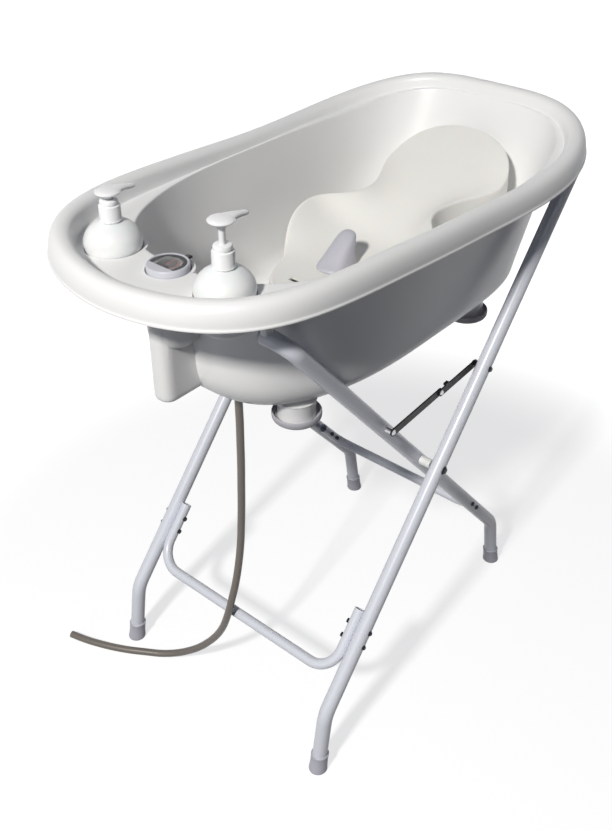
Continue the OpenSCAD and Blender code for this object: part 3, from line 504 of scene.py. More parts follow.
def turned(name: str, outline: Outline, where: Matrix, steps: int = 48, base: float = 0.0) -> Piece:
    """Turns an outline round an axis, as on a lathe: one point is extruded along it and spun.

    Args:
        name: Name of the piece.
        outline: Radius and height of each point, in millimetres; closed, or with both ends on the axis.
        where: Place of the axis, in metres.
        steps: Facets round it.
        base: What the heights count from, in millimetres.

    Returns:
        The piece, smooth-shaded.
    """
    deselect()
    bpy.ops.mesh.primitive_plane_add(size=0.01, location=(0, 0, 0))
    piece = named(name)
    line = [(r, z + base) for r, z in outline]
    with editing(piece):
        bpy.ops.mesh.merge(type="CENTER")
        bpy.ops.transform.translate(value=(line[0][0] * MM, 0, line[0][1] * MM))
        for (r0, z0), (r1, z1) in zip(line, line[1:]):
            step = ((r1 - r0) * MM, 0, (z1 - z0) * MM)
            bpy.ops.mesh.extrude_vertices_move(TRANSFORM_OT_translate={"value": step})
        bpy.ops.mesh.select_all(action="SELECT")
        bpy.ops.mesh.spin(steps=steps, angle=math.tau, center=(0, 0, 0), axis=(0, 0, 1))
    tidy_mesh(piece)
    return smoothed(placed(piece, where))


def squircle(turn: float, power: float) -> tuple[float, float]:
    """Point of a superellipse of radius 1.

    Args:
        turn: Its angle in radians.
        power: 2 for a circle, more for a squarer outline.

    Returns:
        Its two coordinates.
    """
    c, s = math.cos(turn), math.sin(turn)
    r = (abs(c) ** power + abs(s) ** power) ** (-1 / power)
    return c * r, s * r


def outward(line: Callable[[float], Vector], a: float) -> Vector:
    """Outward direction on an outline, from the points half a degree either way."""
    way = (line(a + 0.5) - line(a - 0.5)).normalized()
    return Vector((way.y, -way.x))


def fanned(rows: Sequence[list[Vector]], first: Vector, last: Vector) -> list[list[Vector]]:
    """Adds a point at each end of the rings of a loft, repeated so that a fan closes it."""
    return [[first] * len(rows[0]), *rows, [last] * len(rows[0])]


def lofted(name: str, rows: Sequence[Sequence[Vector]], wrap: bool) -> Piece:
    """Lays a grid on rows of points; the rows close into rings where wrap is set.

    Args:
        name: Name of the piece.
        rows: Rows of points in millimetres, all as long as each other.
        wrap: Whether each row joins its own start.

    Returns:
        The piece, with its doubles merged.
    """
    columns = len(rows[0]) + (1 if wrap else 0)
    deselect()
    bpy.ops.mesh.primitive_grid_add(x_subdivisions=columns - 1, y_subdivisions=len(rows) - 1, size=1)
    piece = named(name)
    points = piece.data.vertices
    order = sorted(range(len(points)), key=lambda i: (round(points[i].co.y, 5), round(points[i].co.x, 5)))
    for place, index in enumerate(order):
        row, column = divmod(place, columns)
        points[index].co = rows[row][column % len(rows[0])] * MM
    return tidy_mesh(piece)


def joined(name: str, pieces: Sequence[Piece]) -> Piece:
    """Joins pieces into one.

    Args:
        name: Name of the whole.
        pieces: What is joined.

    Returns:
        The whole.
    """
    deselect()
    for piece in pieces:
        piece.select_set(True)
    bpy.context.view_layer.objects.active = pieces[0]
    if len(pieces) > 1:
        bpy.ops.object.join()
    pieces[0].name = pieces[0].data.name = name
    return pieces[0]


def carve(piece: Piece, other: Piece, how: str) -> Piece:
    """Joins another solid to the piece or cuts it away, and drops it.

    Args:
        piece: The piece.
        other: The solid.
        how: UNION, DIFFERENCE or INTERSECT.

    Returns:
        The same piece.
    """
    work(piece, "BOOLEAN", operation=how, object=other, solver="EXACT")
    bpy.data.objects.remove(other, do_unlink=True)
    return piece


def block(name: str, low: Point, high: Point, bevel: float = 0.0, segments: int = 3) -> Piece:
    """A box between two corners, with its edges rounded.

    Args:
        name: Name of the piece.
        low: Lowest corner in millimetres.
        high: Highest corner in millimetres.
        bevel: Radius of its edges in millimetres.
        segments: Steps in each rounded edge.

    Returns:
        The piece.
    """
    deselect()
    middle = [(a + b) / 2 * MM for a, b in zip(low, high)]
    bpy.ops.mesh.primitive_cube_add(size=1)
    piece = named(name)
    with editing(piece):
        bpy.ops.transform.resize(value=[(b - a) * MM for a, b in zip(low, high)])
        bpy.ops.transform.translate(value=middle)
        if bevel:
            bpy.ops.mesh.bevel(offset=bevel * MM, segments=segments, affect="EDGES")
    return smoothed(piece)


def finished(piece: Piece, finish: Finish, body: str, slot: str, *nodes: str) -> Piece:
    """Dresses a piece, puts it on its body and lets it stand for its nodes.

    Args:
        piece: The piece.
        finish: Its finish.
        body: The body that it rides on.
        slot: The record's material slot.
        *nodes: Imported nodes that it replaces.

    Returns:
        The same piece.
    """
    finish.dress(piece)
    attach(piece, body)
    if nodes:
        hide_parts(*nodes)
    log.info("%s: %d faces, on %s%s", piece.name, len(piece.data.polygons), body,
             ", for " + " ".join(nodes) if nodes else "")
    return piece


def carried(finish: Finish, *nodes: str) -> None:
    """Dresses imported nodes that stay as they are.

    Args:
        finish: Their finish.
        *nodes: Their names.
    """
    for node in nodes:
        finish.dress(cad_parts[node])
        log.info("%s: packed node, dressed as %s", node, finish.name)


# ---------------------------------------------------------------- stage


@dataclass
class Stage:
    """Camera, lamps and the pale floor."""

    eye: Point = (-1144.0, -927.7, 1503.0)
    look: Point = (0.652, 0.544, -0.528)
    lens: float = 44.41
    shift: tuple[float, float] = (-0.0213, -0.0819)
    key_at: Point = (-3680.0, -800.0, 3950.0)
    key_power: float = 216.0
    key_size: float = 0.42
    fill_at: Point = (-3200.0, 150.0, 800.0)
    fill_power: float = 8.0
    fill_size: float = 1.6
    sky: float = 0.1
    floor_glow: float = 0.56
    far_glow: float = 0.9
    shadow_reach: tuple[float, float] = (0.7, 1.2)

    def seen(self, tree: Tree) -> Socket:
        """Gives 1 where a ray comes from the eye, straight, mirrored or through something clear.

        Args:
            tree: The tree that takes the nodes.

        Returns:
            The output socket.
        """
        path = add(tree, "ShaderNodeLightPath").outputs
        mirrored = maths(tree, "MAXIMUM", path["Is Camera Ray"], path["Is Glossy Ray"])
        return maths(tree, "MAXIMUM", mirrored, path["Is Transmission Ray"])

    def camera(self) -> None:
        """Places the camera where the photograph was taken from."""
        bpy.ops.object.camera_add(location=[c * MM for c in self.eye],
                                  rotation=Vector(self.look).to_track_quat("-Z", "Y").to_euler())
        camera = named("camera")
        camera.data.lens = self.lens
        camera.data.sensor_width = 36.0
        camera.data.shift_x, camera.data.shift_y = self.shift
        bpy.context.scene.camera = camera
        bpy.context.scene.view_settings.view_transform = "Standard"

    def lamp(self, name: str, at: Point, power: float, size: float, colour: str) -> None:
        """Adds a square soft lamp that looks at the tub.

        Args:
            name: Its name.
            at: Its place in millimetres.
            power: Watts.
            size: Edge in metres.
            colour: sRGB hex.
        """
        aim = Vector((0, 0, 500)) - Vector(at)
        bpy.ops.object.light_add(type="AREA", location=Vector(at) * MM,
                                 rotation=aim.to_track_quat("-Z", "Y").to_euler())
        light = named(name)
        light.data.energy = power
        light.data.size = size
        light.data.color = linear(colour)[:3]

    def light(self) -> None:
        """Key light from the foot end, a weak fill and a low, even, bluish sky; what is seen behind is white."""
        self.lamp("key", self.key_at, self.key_power, self.key_size, "#FFFDF8")
        self.lamp("fill", self.fill_at, self.fill_power, self.fill_size, "#F2F5FF")
        world = bpy.context.scene.world or bpy.data.worlds.new("studio")
        bpy.context.scene.world = world
        tree = emptied(world)
        seen = self.seen(tree)
        even = add(tree, "ShaderNodeBackground", {"Color": linear("#D2DEF2"), "Strength": self.sky})
        white = add(tree, "ShaderNodeBackground", {"Color": (1, 1, 1, 1), "Strength": 1.0})
        mixed = add(tree, "ShaderNodeMixShader", {0: seen, 1: even.outputs[0], 2: white.outputs[0]})
        add(tree, "ShaderNodeOutputWorld", {"Surface": mixed.outputs[0]})

    def floor(self) -> None:
        """Pale floor: white to the camera, with the object's shadow kept in it."""
        deselect()
        bpy.ops.mesh.primitive_plane_add(size=24.0, location=(0, 0, 0))
        ground = named("floor")
        made = bpy.data.materials.new("floor_painted_white")
        tree = emptied(made)
        seen = self.seen(tree)
        # the eye gets white with the shadow kept in it; the bounce on the object is a dark grey floor's
        away = add(tree, "ShaderNodeVectorMath", {0: position(tree)}, operation="LENGTH").outputs["Value"]
        # the shadow thins out from 0.7 m to 1.2 m from the middle, and little but white is left beyond
        near, far = self.shadow_reach
        plain = add(tree, "ShaderNodeMapRange", {"Value": away, "From Min": near, "From Max": far,
                                                 "To Min": self.floor_glow, "To Max": self.far_glow},
                    interpolation_type="SMOOTHSTEP").outputs[0]
        share = maths(tree, "MULTIPLY", seen, plain)
        paint = add(tree, "ShaderNodeBsdfDiffuse", {"Color": tinted(tree, seen, "#3C3C3C", "#F6F6F8")})
        glow = add(tree, "ShaderNodeEmission", {"Color": (1, 1, 1, 1), "Strength": 1.3})
        both = add(tree, "ShaderNodeMixShader", {0: share, 1: paint.outputs[0], 2: glow.outputs[0]})
        add(tree, "ShaderNodeOutputMaterial", {"Surface": both.outputs[0]})
        ground.data.materials.append(made)


# ---------------------------------------------------------------- tub


@dataclass
class Tub:
    """The moulded bath: rolled rim, shelf with its cups and pocket, basin, drop leg and bosses."""

    length: float = 948.0
    width: float = 510.0
    edge_z: float = 864.0
    rim_height: float = 35.0
    rim_roll: float = 36.0
    wall: float = 3.0
    basin_z: float = 649.0
    shelf_z: float = 878.0
    floor_width: float = 372.0
    foot_wall: float = 330.0
    head_wall: float = 336.0
    around: int = 96
    cup_x: float = -354.0
    cup_y: float = 107.0
    pocket_x: float = -352.0
    drain_x: float = -236.0
    ring_z: float = 611.0
    # middle of the stubs at the inner legs' tops, on which the tub lies
    rest: Point = (-331.0, 155.0, 817.0)
    drop_front: float = 390.0
    drop_half: float = 18.5
    bosses: Outline = ((-219.0, 104.0), (198.0, 128.0))
    # powers of the rim's superellipse at the foot end and at the head end
    rim_powers: tuple[float, float] = (1.88, 3.5)
    # distance in from the edge and height above it
    rim_profile: Outline = (
        (0.4, 0.0), (0.0, 0.6), (0.0, 2.6), (0.7, 3.6), (1.5, 4.6), (1.6, 8), (2.0, 13), (3.4, 20), (6.0, 26.5),
        (10.0, 31.6), (15.0, 34.4), (20.0, 35.0), (25.0, 34.6), (29.5, 32.8), (33.0, 29.6), (35.2, 26.0))
    # radii and heights from the shelf
    cup: Outline = ((0, -48), (30, -48), (35, -46.4), (38.5, -42.4), (39.8, -36.4), (40.2, -14.4), (45, -4.4),
                    (46, -0.4), (0, -0.4))
    cup_bore: Outline = ((0, -45.5), (33, -45.5), (36, -44), (37.5, -40.5), (37.5, -9), (40.6, -3.6), (41.0, -1.2),
                         (42.0, 0.4), (42.0, 8), (0, 8))
    pocket: Outline = ((0, -108), (28, -108), (33, -103), (35.6, -92), (36, -0.4), (0, -0.4))
    pocket_bore: Outline = ((0, -14), (31.2, -14), (31.2, -0.9), (32.0, 0.4), (32.0, 6), (0, 6))
    # radii and heights from the ring's own foot: dished below, with a rolled lip
    ring: Outline = ((29.1, 4.1), (0, 4.1), (0, 2.0), (23, 2.0), (27, 0.4), (31, 0), (34, 0.5), (36.2, 2.4),
                     (37.6, 5), (38, 9), (37.8, 12.6), (36.8, 13.9), (35.6, 13.4), (35.1, 11.5), (34.9, 8.2),
                     (30.4, 7.9), (29.2, 7.2), (29.1, 4.1))

    def lobe(self, a: float, foot_n: float, head_n: float) -> tuple[float, float]:
        """Point of a superellipse whose two ends have their own powers.

        Args:
            a: Angle in degrees, 0 at the head end.
            foot_n: Power at the foot end.
            head_n: Power at the head end.

        Returns:
            X and Y on a unit outline.
        """
        turn = math.radians(a)
        return squircle(turn, foot_n if math.cos(turn) < 0 else head_n)

    def rim_z(self, u: float) -> float:
        """Height of the rim's lower edge at a share u of the half length."""
        return self.edge_z - 22.5 * u + 19.2 * u * u + 37 * u**3

    def rim_xy(self, a: float) -> Vector:
        """Outer edge of the rim."""
        u, v = self.lobe(a, *self.rim_powers)
        return Vector((self.length / 2 * u, self.width / 2 * (1 + 0.387 * u * u - 0.36 * u**3) * v))

    def rim_point(self, a: float, inset: float, rise: float) -> Vector:
        """Point of the rim.

        Args:
            a: Angle in degrees.
            inset: Distance in from the outer edge.
            rise: Height above the lower edge.

        Returns:
            The point, in millimetres.
        """
        p = self.rim_xy(a) - outward(self.rim_xy, a) * inset
        return Vector((p.x, p.y, self.rim_z(self.lobe(a, *self.rim_powers)[0]) + rise))

    def basin_xy(self, a: float, k: float) -> Vector:
        """Outline of the basin.

        Args:
            a: Angle in degrees.
            k: 0 at its mouth, 1 at the foot of its walls.

        Returns:
            X and Y in millimetres.
        """
        u, v = self.lobe(a, 2.6 + 0.1 * k, 3.6 + 0.9 * k)
        foot = self.foot_wall + 9 * (1 - k)
        head = (self.length / 2 - self.rim_roll - 4) * (1 - k) + self.head_wall * k
        half = (self.width / 2 - self.rim_roll - 5) * (1 - k) + self.floor_width / 2 * k
        return Vector(((foot if u < 0 else head) * u, half * v * (1 + 0.02 * u * (1 - k))))

    def basin_out(self, a: float, k: float) -> Vector:
        """Outward direction on the basin's outline."""
        return outward(lambda b: self.basin_xy(b, k), a)

    def fillet(self, a: float) -> float:
        """Radius between wall and floor: wide at the foot end, tight at the head end."""
        c = math.cos(math.radians(a))
        return 48 + ((72 if c < 0 else 34) - 48) * c * c

    def mouth_z(self, a: float) -> float:
        """Height of the basin's mouth: level at the shelf, rising with the rim at the head end."""
        u = self.lobe(a, *self.rim_powers)[0]
        return max(self.shelf_z, self.rim_z(u) + 0.35 * self.rim_height) if u > 0 else self.shelf_z

    def wall_point(self, a: float, k: float, skin: float) -> Vector:
        """Point of the basin's wall.

        Args:
            a: Angle in degrees.
            k: 0 at its mouth, 1 at its foot.
            skin: Distance out from the inside.

        Returns:
            The point, in millimetres.
        """
        p = self.basin_xy(a, k) + self.basin_out(a, k) * skin
        top, low = self.mouth_z(a) - (skin if k == 0 else 0), self.basin_z + self.fillet(a)
        return Vector((p.x, p.y, top + (low - top) * k))

    def fillet_point(self, a: float, turn: float, skin: float) -> Vector:
        """Point of the round between wall and floor.

        Args:
            a: Angle in degrees.
            turn: Degrees round it from the wall.
            skin: Distance out from the inside.

        Returns:
            The point, in millimetres.
        """
        r, t = self.fillet(a), math.radians(turn)
        p = self.basin_xy(a, 1) - self.basin_out(a, 1) * (r - (r + skin) * math.cos(t))
        return Vector((p.x, p.y, self.basin_z + r - (r + skin) * math.sin(t)))

    def floor_point(self, a: float, k: float, skin: float) -> Vector:
        """Point of the floor between its edge, k = 0, and the middle line, k = 1."""
        p = self.fillet_point(a, 90, skin)
        return Vector((p.x * (1 - 0.45 * k), p.y * (1 - k), p.z))

    def meridian(self, a: float) -> list[Vector]:
        """One line of the moulding, from the middle of the floor over the rim and back under the floor.

        Args:
            a: Angle in degrees.

        Returns:
            Its points.
        """
        inside = [self.floor_point(a, k, 0) for k in (1, 0.6, 0.25)]
        inside += [self.fillet_point(a, t, 0) for t in (90, 75, 60, 45, 30, 15)]
        inside += [self.wall_point(a, k, 0) for k in (1, 0.8, 0.6, 0.4, 0.2, 0.07, 0.025, 0.004)]
        lip, seat = self.wall_point(a, 0, 0), self.rim_point(a, self.rim_roll + 2, 0)
        seat.z = self.mouth_z(a)
        shelf = [lip.lerp(seat, 0.04), lip.lerp(seat, 0.14), lip.lerp(seat, 0.6), lip.lerp(seat, 0.94), seat]
        for p in shelf:
            p.z = self.mouth_z(a)
        shelf += [self.rim_point(a, self.rim_roll + 1.2, 0)]
        shelf[-1].z = self.mouth_z(a) + 2
        rim = [self.rim_point(a, inset, rise) for inset, rise in reversed(self.rim_profile)]
        rim[0].z = max(rim[0].z, self.mouth_z(a) + 3)
        w = self.wall
        under = [self.rim_point(a, i, r) for i, r in (
            (w - 0.4, 0.0), (w, 0.6), (w + 1.2, 8), (w + 3, 16), (w + 7, 25), (w + 12, 30.5), (20, 32), (27, 30.6),
            (self.rim_roll - w, 23))]
        back = self.rim_point(a, self.rim_roll + 2 - w, 0)
        back.z = self.mouth_z(a) - w + 1
        outer_lip = self.wall_point(a, 0, w)
        back_low = Vector((back.x, back.y, outer_lip.z))
        outside = [back, back_low.lerp(outer_lip, 0.1), back_low.lerp(outer_lip, 0.8), outer_lip]
        outside += [self.wall_point(a, k, w) for k in (0.05, 0.2, 0.4, 0.6, 0.8, 1)]
        outside += [self.fillet_point(a, t, w) for t in (15, 30, 45, 60, 75, 90)]
        outside += [self.floor_point(a, k, w) for k in (0.25, 0.6, 1)]
        return inside + shelf + rim + under + outside

    def shell(self) -> Piece:
        """Rim, shelf and basin in one skin.

        Returns:
            The shell.
        """
        lines = [self.meridian(360 * i / self.around) for i in range(self.around)]
        rows = [[line[j] for line in lines] for j in range(len(lines[0]))]
        shell = lofted("tub_moulding", rows, True)
        return work(shell, "SUBSURF", levels=1, render_levels=1)

    def drop_leg(self) -> Piece:
        """The hollow leg that drops at the middle of the foot end, rounded in front and at its foot.

        Returns:
            Its solid.
        """
        low, high = self.shelf_z - 195, self.shelf_z - 2
        rows = []
        # heights from its foot, and shares of its half width
        for rise, k in ((0, 0.55), (0.4, 0.8), (2.2, 0.93), (5.5, 0.99), (10, 1), (60, 1), (120, 1), (150, 1.02),
                        (170, 1.06), (high - low, 1.1)):
            z, half = low + rise, self.drop_half * k
            # a squarer front than a half circle, as the mould has it
            front = [squircle(math.radians(90 + 180 * i / 24), 2.4) for i in range(25)]
            ring = [Vector((-self.drop_front + self.drop_half + half * c, half * s, z)) for c, s in front]
            back = -self.foot_wall + 4
            rows.append(ring + [Vector((back, -half, z)), Vector((back, half, z))])
        ends = [Vector((-self.foot_wall - 30, 0, z)) for z in (low, high)]
        return lofted("drop_leg", fanned(rows, *ends), True)

    def well(self, outline: Outline, x: float, y: float = 0.0) -> Piece:
        """Turns a cup, the pocket or a bore, with its heights counted from the shelf."""
        return turned("well", outline, upright(x, y, 0), 64, self.shelf_z)

    def build(self) -> None:
        """Builds the tub and its rubber rings."""
        tub = self.shell()
        sides = [side.value for side in Side]
        low = -self.wall - 30.7
        boss = ((0, low), (28, low), (29, low + 1), (29, -6), (31, -1.2), (0, -1.2))
        joins = [self.drop_leg(), self.well(self.pocket, self.pocket_x)]
        joins += [self.well(self.cup, self.cup_x, s * self.cup_y) for s in sides]
        feet = [upright(x, s * y, 0) for x, y in self.bosses for s in sides]
        joins += [turned("boss", boss, foot, 48, self.basin_z) for foot in feet]
        x, y, z = self.rest
        joins += [block("rest", (x - 8, s * y - 6, z), (x + 8, s * y + 6, self.shelf_z - 2), 3.0) for s in sides]
        cuts = [self.well(self.cup_bore, self.cup_x, s * self.cup_y) for s in sides]
        cuts.append(self.well(self.pocket_bore, self.pocket_x))
        cuts.append(turned("drain_hole", ((0, -29), (15, -29), (15, 11), (0, 11)), upright(self.drain_x, 0, 0), 48,
                           self.basin_z))
        cuts += [turned("saddle", ((0, -20), (12.8, -20), (12.8, 20), (0, 20)),
                        along(Vector((x, s * y, z)), Vector((0, 1, 0))), 32) for s in sides]
        for how, parts in (("UNION", joins), ("DIFFERENCE", cuts)):
            for part in parts:
                carve(tub, part, how)
        tidy_mesh(tub, 2e-6)
        smoothed(tub, 38)
        finished(tub, TUB_PP, "tub", "tub_plastic", "tub")
        rings = [turned("ring", self.ring, upright(0, 0, self.ring_z) @ foot, 56) for foot in feet]
        finished(joined("foot_rings", rings), FOOT_RUBBER, "tub", "foot_rubber", "tub_foot_rings")


# ---------------------------------------------------------------- infant seat


@dataclass
class Seat:
    """The infant seat: platform, hip wings, leaning back and the pommel between the legs."""

    floor_z: float = 649.3
    top_z: float = 743.0
    half: float = 125.0
    wall: float = 3.5
    pommel_x: float = -2.0
    slot: tuple[Point, Point] = ((-86.0, -28.0, 730.0), (-75.0, 28.0, 765.0))
    # x, heights of the middle and of the edge above the platform, half width, skirt's height above the floor
    stations: tuple[tuple[float, float, float, float, float], ...] = (
        (-118, 0, 2, 0.22, 0), (-112, 0, 2, 0.36, 0), (-98, 0, 2, 0.47, 0), (-80, -1, 2, 0.54, 0),
        (-56, -2, 3, 0.6, 0), (-36, -2, 4, 0.67, 0), (-18, -3, 10, 0.78, 0), (0, -3, 22, 0.88, 0),
        (18, -3, 38, 0.95, 0), (38, -2, 50, 0.99, 0), (62, 0, 58, 1, 0), (88, 3, 60, 0.99, 0),
        (108, 8, 60, 0.9, 0), (126, 15, 59, 0.77, 0), (148, 25, 58, 0.66, 0), (176, 37, 59, 0.6, 0),
        (206, 50, 61, 0.64, 0), (238, 64, 63, 0.75, 2), (268, 78, 65, 0.88, 8), (294, 89, 68, 0.96, 20),
        (316, 99, 77, 0.95, 36), (332, 106, 88, 0.9, 60), (348, 113, 99, 0.82, 84), (362, 119, 109, 0.7, 110),
        (372, 123, 117, 0.53, 130), (378, 126, 122, 0.34, 146))
    columns: tuple[float, ...] = (0.93, 0.84, 0.72, 0.56, 0.38, 0.19, 0.0)

    def row(self, s: tuple[float, float, float, float, float]) -> list[Vector]:
        """One line across the seat: skirt, rolled lip, top, lip and skirt.

        Args:
            s: The station.

        Returns:
            Its points.
        """
        x, mid, edge, share, lift = s
        half, foot = share * self.half, self.floor_z + lift
        lip = self.top_z + edge
        drop = min(9.0, max(lip - foot - 1, 0.4))
        right = [(half, foot), (half, foot + (lip - drop - foot) * 0.5), (half, lip - drop),
                 (half - 0.6, lip - 2.2), (half - 4.0, lip + 0.2)]
        right += [((half - 5) * c, self.top_z + mid + (edge - mid) * (c * 0.985) ** 2.6) for c in self.columns]
        left = [(-y, z) for y, z in reversed(right[:-1])]
        return [Vector((x, y, z)) for y, z in right + left]

    def shell(self) -> Piece:
        """The moulding, given its wall after its skin is shaped.

        Returns:
            The shell.
        """
        rows = [self.row(s) for s in self.stations]
        front = [Vector((p.x - 1.5, p.y * 0.86, min(p.z, self.top_z - 3))) for p in rows[0]]
        low = [Vector((p.x - 1.5, p.y * 0.5, min(p.z, self.top_z - 14))) for p in rows[0]]
        seat = lofted("seat_moulding", [low, front] + rows, False)
        work(seat, "SUBSURF", levels=2, render_levels=2)
        work(seat, "SOLIDIFY", thickness=self.wall * MM, offset=-1.0)
        return seat

    def build(self) -> None:
        """Builds the seat and its pommel."""
        seat = self.shell()
        tidy_mesh(seat)
        carve(seat, block("slot", *self.slot, 1.5), "DIFFERENCE")
        smoothed(seat, 50)
        finished(seat, SEAT_PP, "seat", "seat_plastic", "seat_shell")
        self.pommel()

    def pommel(self) -> None:
        """The post: wide at its base, drawn up and back to a rounded tip."""
        rows = []
        for dx, half_x, half_y, z, n in ((0, 20, 16, -1.3, 3), (0, 32, 26.4, -1.2, 3), (0.2, 32, 26.4, 1.5, 3),
                                         (1.2, 31, 25.8, 5, 3), (6, 27, 23.6, 13, 2.7), (13, 22.6, 21, 23, 2.5),
                                         (21, 18, 18.4, 33, 2.4), (27, 14.2, 16.4, 40.5, 2.3),
                                         (31, 10.6, 13.6, 45.6, 2.2), (33, 6, 8.4, 49, 2.1)):
            ring = []
            for c, s in (squircle(math.tau * i / 28, n) for i in range(28)):
                # the tip's front leans back more than its rear
                tilt = 0.12 * half_x * c if z > 6 else 0.0
                ring.append(Vector((self.pommel_x + dx + half_x * c, half_y * s, self.top_z + z + tilt)))
            rows.append(ring)
        rows = fanned(rows, Vector((self.pommel_x - 2, 0, self.top_z - 1.3)),
                      Vector((self.pommel_x + 34, 0, self.top_z + 50.2)))
        post = lofted("seat_post", rows, True)
        work(post, "SUBSURF", levels=2, render_levels=2)
        tongue = block("tongue", (self.pommel_x - 10.7, -6.7, self.top_z - 9),
                       (self.pommel_x + 10.7, 6.7, self.top_z), 0.6)
        post = joined("seat_post", [post, tongue])
        smoothed(post, 60)
        finished(post, POMMEL_TPE, "seat", "pommel_plastic", "seat_pommel")


# ---------------------------------------------------------------- bottles and pumps


@dataclass
class PumpBottle:
    """A round bottle with its collar and pump; each stands in a cup of the shelf."""

    side: Side
    rise: float
    x: float = -354.0
    y: float = 107.0
    base_z: float = 832.8
    height: float = 84.0
    base_r: float = 36.5
    wide_r: float = 40.5
    collar_h: float = 31.0

    @property
    def where(self) -> Matrix:
        """The bottle's axis."""
        return upright(self.x, self.side.value * self.y, 0)

    @property
    def collar_z(self) -> float:
        """Where the collar stands, just above the shoulder."""
        return self.base_z + self.height + 0.4

    def flask(self) -> None:
        """Blown body with its base, belly, shoulder and neck, hollow inside."""
        top = self.height
        outer = [(0, 1.2), (24, 1.2), (28, 0), (32.5, 0.6), (35.4, 3), (self.base_r, 7), (self.base_r, 34),
                 (37.2, 39), (39.4, 44)]
        for i in range(15):
            t = math.radians(-12 + 80 * i / 14)
            outer.append((self.wide_r * math.cos(t), 53 + 31.5 * math.sin(t) / math.sin(math.radians(78))))
        outer += [(13.6, top - 0.8), (12.4, top + 0.4), (12.0, top + 2), (12.0, top + 16)]
        inner = [(max(r - 1.5, 0.0), h + (1.5 if h < 20 else 0)) for r, h in outer[:-1]] + [(10.5, top + 16)]
        flask = turned(f"flask_{self.side.tag}", outer + inner[::-1], self.where, 72, self.base_z)
        finished(flask, BOTTLE_PE, f"bottle_{self.side.tag}", "bottle_plastic", f"bottle_{self.side.tag}")

    def collar(self) -> None:
        """Screw collar: plain skirt, a bead at its foot and a stepped ring that locks the pump."""
        h = self.collar_h
        outline = [(12.1, 0), (15.4, 0), (15.9, 0.6), (15.9, 1.6), (15.2, 2.4), (15.0, 3), (14.9, h - 10),
                   (14.6, h - 9), (13.6, h - 8.4), (12.3, h - 8.2), (12.0, h - 7.6), (12.0, h - 6.6),
                   (12.6, h - 6.2), (12.7, h - 2.6), (11.8, h - 0.9), (9.6, h), (4.6, h), (4.6, 17.5),
                   (12.1, 17.4), (12.1, 0)]
        collar = turned(f"collar_{self.side.tag}", outline, self.where, 64, self.collar_z)
        finished(collar, PUMP_PP, f"bottle_{self.side.tag}", "pump_plastic", f"pump_collar_{self.side.tag}")

    def head(self) -> None:
        """Press pad, a flat dome, with its stem below and its tapered spout towards the head end."""
        z = self.collar_z + self.collar_h + self.rise
        dome = [(0, -29), (4.3, -29), (4.5, -28.5), (4.5, 0.6), (6.2, 0.8), (6.6, 1.6), (6.4, 4.6), (9.0, 5.6),
                (13.2, 6.6), (16.4, 7.8), (17.8, 9.4), (17.7, 10.6), (16.0, 12), (12.4, 13.2), (7.0, 14.1),
                (2.6, 14.4), (0, 14.4)]
        pad = turned(f"pump_{self.side.tag}", dome, self.where, 64, z)
        rows = []
        for x, low, high, half in (
                (4, 6.6, 13.6, 13.2), (10, 6.2, 13.7, 12.2), (17, 5.4, 13.2, 10.0), (25, 4.4, 12.0, 7.6),
                (33, 3.2, 10.4, 6.0), (39, 2.4, 9.1, 5.3), (43.4, 2.2, 8.2, 4.8), (45.2, 3.0, 7.2, 3.8)):
            ring = [squircle(math.tau * i / 24, 2.6) for i in range(24)]
            rows.append([Vector((self.x + x, self.side.value * self.y + half * c,
                                 z + (low + high) / 2 + (high - low) / 2 * s)) for c, s in ring])
        ends = [sum(row, Vector()) / 24 for row in (rows[0], rows[-1])]
        ends[0].x, ends[1].x = rows[0][0].x, rows[-1][0].x
        spout = lofted("spout", fanned(rows, *ends), True)
        work(spout, "SUBSURF", levels=1, render_levels=1)
        carve(pad, spout, "UNION")
        smoothed(pad, 40)
        finished(pad, PUMP_PP, f"pump_{self.side.tag}", "pump_plastic", f"pump_head_{self.side.tag}")

    def build(self) -> None:
        """Builds the bottle's three pieces and dresses its dip tube."""
        self.flask()
        self.collar()
        self.head()
        carried(DIP_PE, f"dip_tube_{self.side.tag}")


# ---------------------------------------------------------------- thermometer


